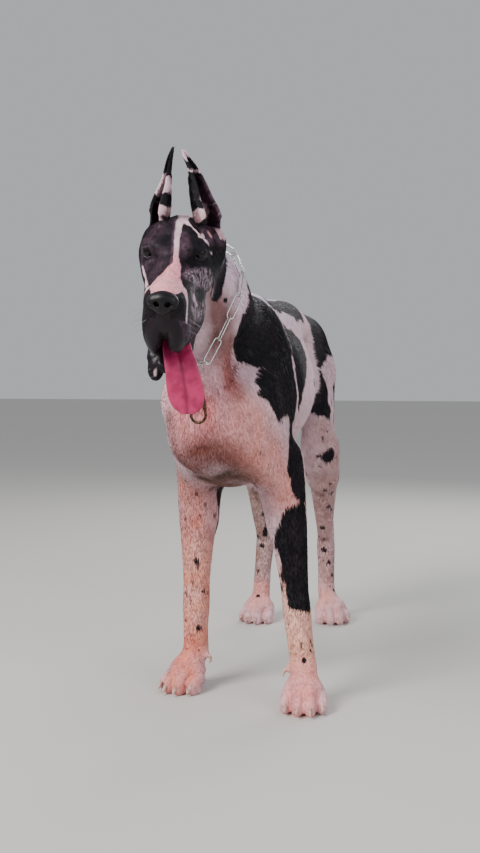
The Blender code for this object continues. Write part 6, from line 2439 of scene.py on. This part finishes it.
@dataclass(frozen=True)
class Studio:
    """A plain pale floor, soft light and the camera at the photo's angle."""

    camera: tuple[float, float, float] = (0.6, -2.14, 0.68)
    yaw: float = math.radians(-16)
    pitch: float = math.radians(-2.6)
    lens: float = 1050 / 853 * 36
    sensor: float = 36
    sky: float = 0.55

    def light(self, name: str, place: Place, target: Place, size: float, power: float,
              colour: Colour = (1, 1, 1)) -> None:
        """Adds a soft square light that points at a place.

        Args:
            name: Its name.
            place: Where it is.
            target: What it points at.
            size: The length of its sides.
            power: Its power in watts.
            colour: Its colour.
        """
        lamp = bpy.data.lights.new(name, "AREA")
        lamp.size, lamp.energy, lamp.color = size, power, colour
        obj = bpy.data.objects.new(name, lamp)
        obj.location = place
        obj.rotation_euler = (Vector(target) - Vector(place)).to_track_quat("-Z", "Y").to_euler()
        bpy.context.scene.collection.objects.link(obj)

    def build(self, shift: Vector) -> None:
        """Sets the floor, the lights, the sky's fill and the camera.

        Args:
            shift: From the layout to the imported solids.
        """
        bm = bmesh.new()
        bmesh.ops.create_grid(bm, x_segments=1, y_segments=1, size=30)
        floor = new_object("floor", bm)
        floor.data.materials.append(Shader("floor", Finish(srgb(206, 204, 200), 0.85, specular=0.2)).mat)
        self.light("key", (-1.6, -2.8, 3.0), (0, 0.1, 0.55), 1.6, 170, (1.0, 0.97, 0.94))
        self.light("fill", (3.0, -1.8, 2.0), (0, 0.1, 0.5), 2.4, 45, (0.93, 0.95, 1.0))
        self.light("back", (0.4, 3.0, 2.6), (0, 0.1, 0.6), 2.0, 60)
        world = bpy.data.worlds.new("sky")
        bpy.context.scene.world = world
        world.use_nodes = True
        sky = world.node_tree.nodes["Background"]
        sky.inputs["Color"].default_value = (0.86, 0.88, 0.92, 1)
        sky.inputs["Strength"].default_value = self.sky
        camera = bpy.data.cameras.new("camera")
        camera.lens, camera.sensor_width, camera.sensor_fit = self.lens, self.sensor, "AUTO"
        obj = bpy.data.objects.new("camera", camera)
        obj.location = Vector(self.camera) + shift
        level = math.cos(self.pitch)
        ahead = Vector((math.sin(self.yaw) * level, math.cos(self.yaw) * level, math.sin(self.pitch)))
        obj.rotation_euler = ahead.to_track_quat("-Z", "Y").to_euler()
        bpy.context.scene.collection.objects.link(obj)
        bpy.context.scene.camera = obj


def place_piece(obj: Object, shift: Vector, nodes: Sequence[str]) -> None:
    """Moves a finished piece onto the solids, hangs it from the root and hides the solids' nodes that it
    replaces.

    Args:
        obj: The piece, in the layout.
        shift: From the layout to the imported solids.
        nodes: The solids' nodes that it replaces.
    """
    obj.data.transform(Matrix.Translation(shift))
    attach(obj, "root")
    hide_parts(*nodes)
    LOG.info("%s: %d faces", obj.name, len(obj.data.polygons))


def main() -> None:
    """Builds the dog's pieces in order and sets the picture."""
    logging.basicConfig(level=logging.INFO, format="%(message)s")
    low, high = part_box("eye_left")
    shift = (low + high) / 2 - on_head(*Lids(Side.LEFT).centre())
    flesh_nodes = [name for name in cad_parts
                   if name.split("_")[0] not in ("eye", "nose", "tongue", "collar", "carabiner")]
    paws = [name for name in flesh_nodes if "paw" in name]
    flesh, comb = build_of_dog(), Comb()
    marks = Markings()
    skin = Skin(flesh)
    skin.build()
    coat = Coat(skin, comb, marks)
    mesh = skin.obj.data
    points = places_of(mesh)
    coat.dress(mesh, points, normals_of(mesh))
    put_numbers(mesh, "wet", marks.wet(points))
    mesh.materials.clear()
    mesh.materials.append(CoatShader("coat_skin", Finish(PALE_COAT, 0.56, specular=0.25), True).build())
    tufts = coat.build()
    place_piece(skin.obj, shift, flesh_nodes)
    for piece in tufts:
        place_piece(piece, shift, flesh_nodes)
    place_piece(Nose().build(), shift, ["nose"])
    place_piece(Tongue().build(), shift, ["tongue"])
    place_piece(Claws().build(), shift, paws)
    place_piece(Whiskers(flesh).build(), shift, ["head"])
    for side in Side:
        place_piece(Eye(side).build(), shift, ["eye_" + side.word])
    chain, hanger, hook = ChainCollar(flesh).build()
    links = [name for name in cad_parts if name.startswith("collar_link")]
    place_piece(chain, shift, links)
    place_piece(hanger, shift, ["collar_hanger"])
    place_piece(hook, shift, ["carabiner"])
    Studio().build(shift)


if __name__ == "__main__":
    main()
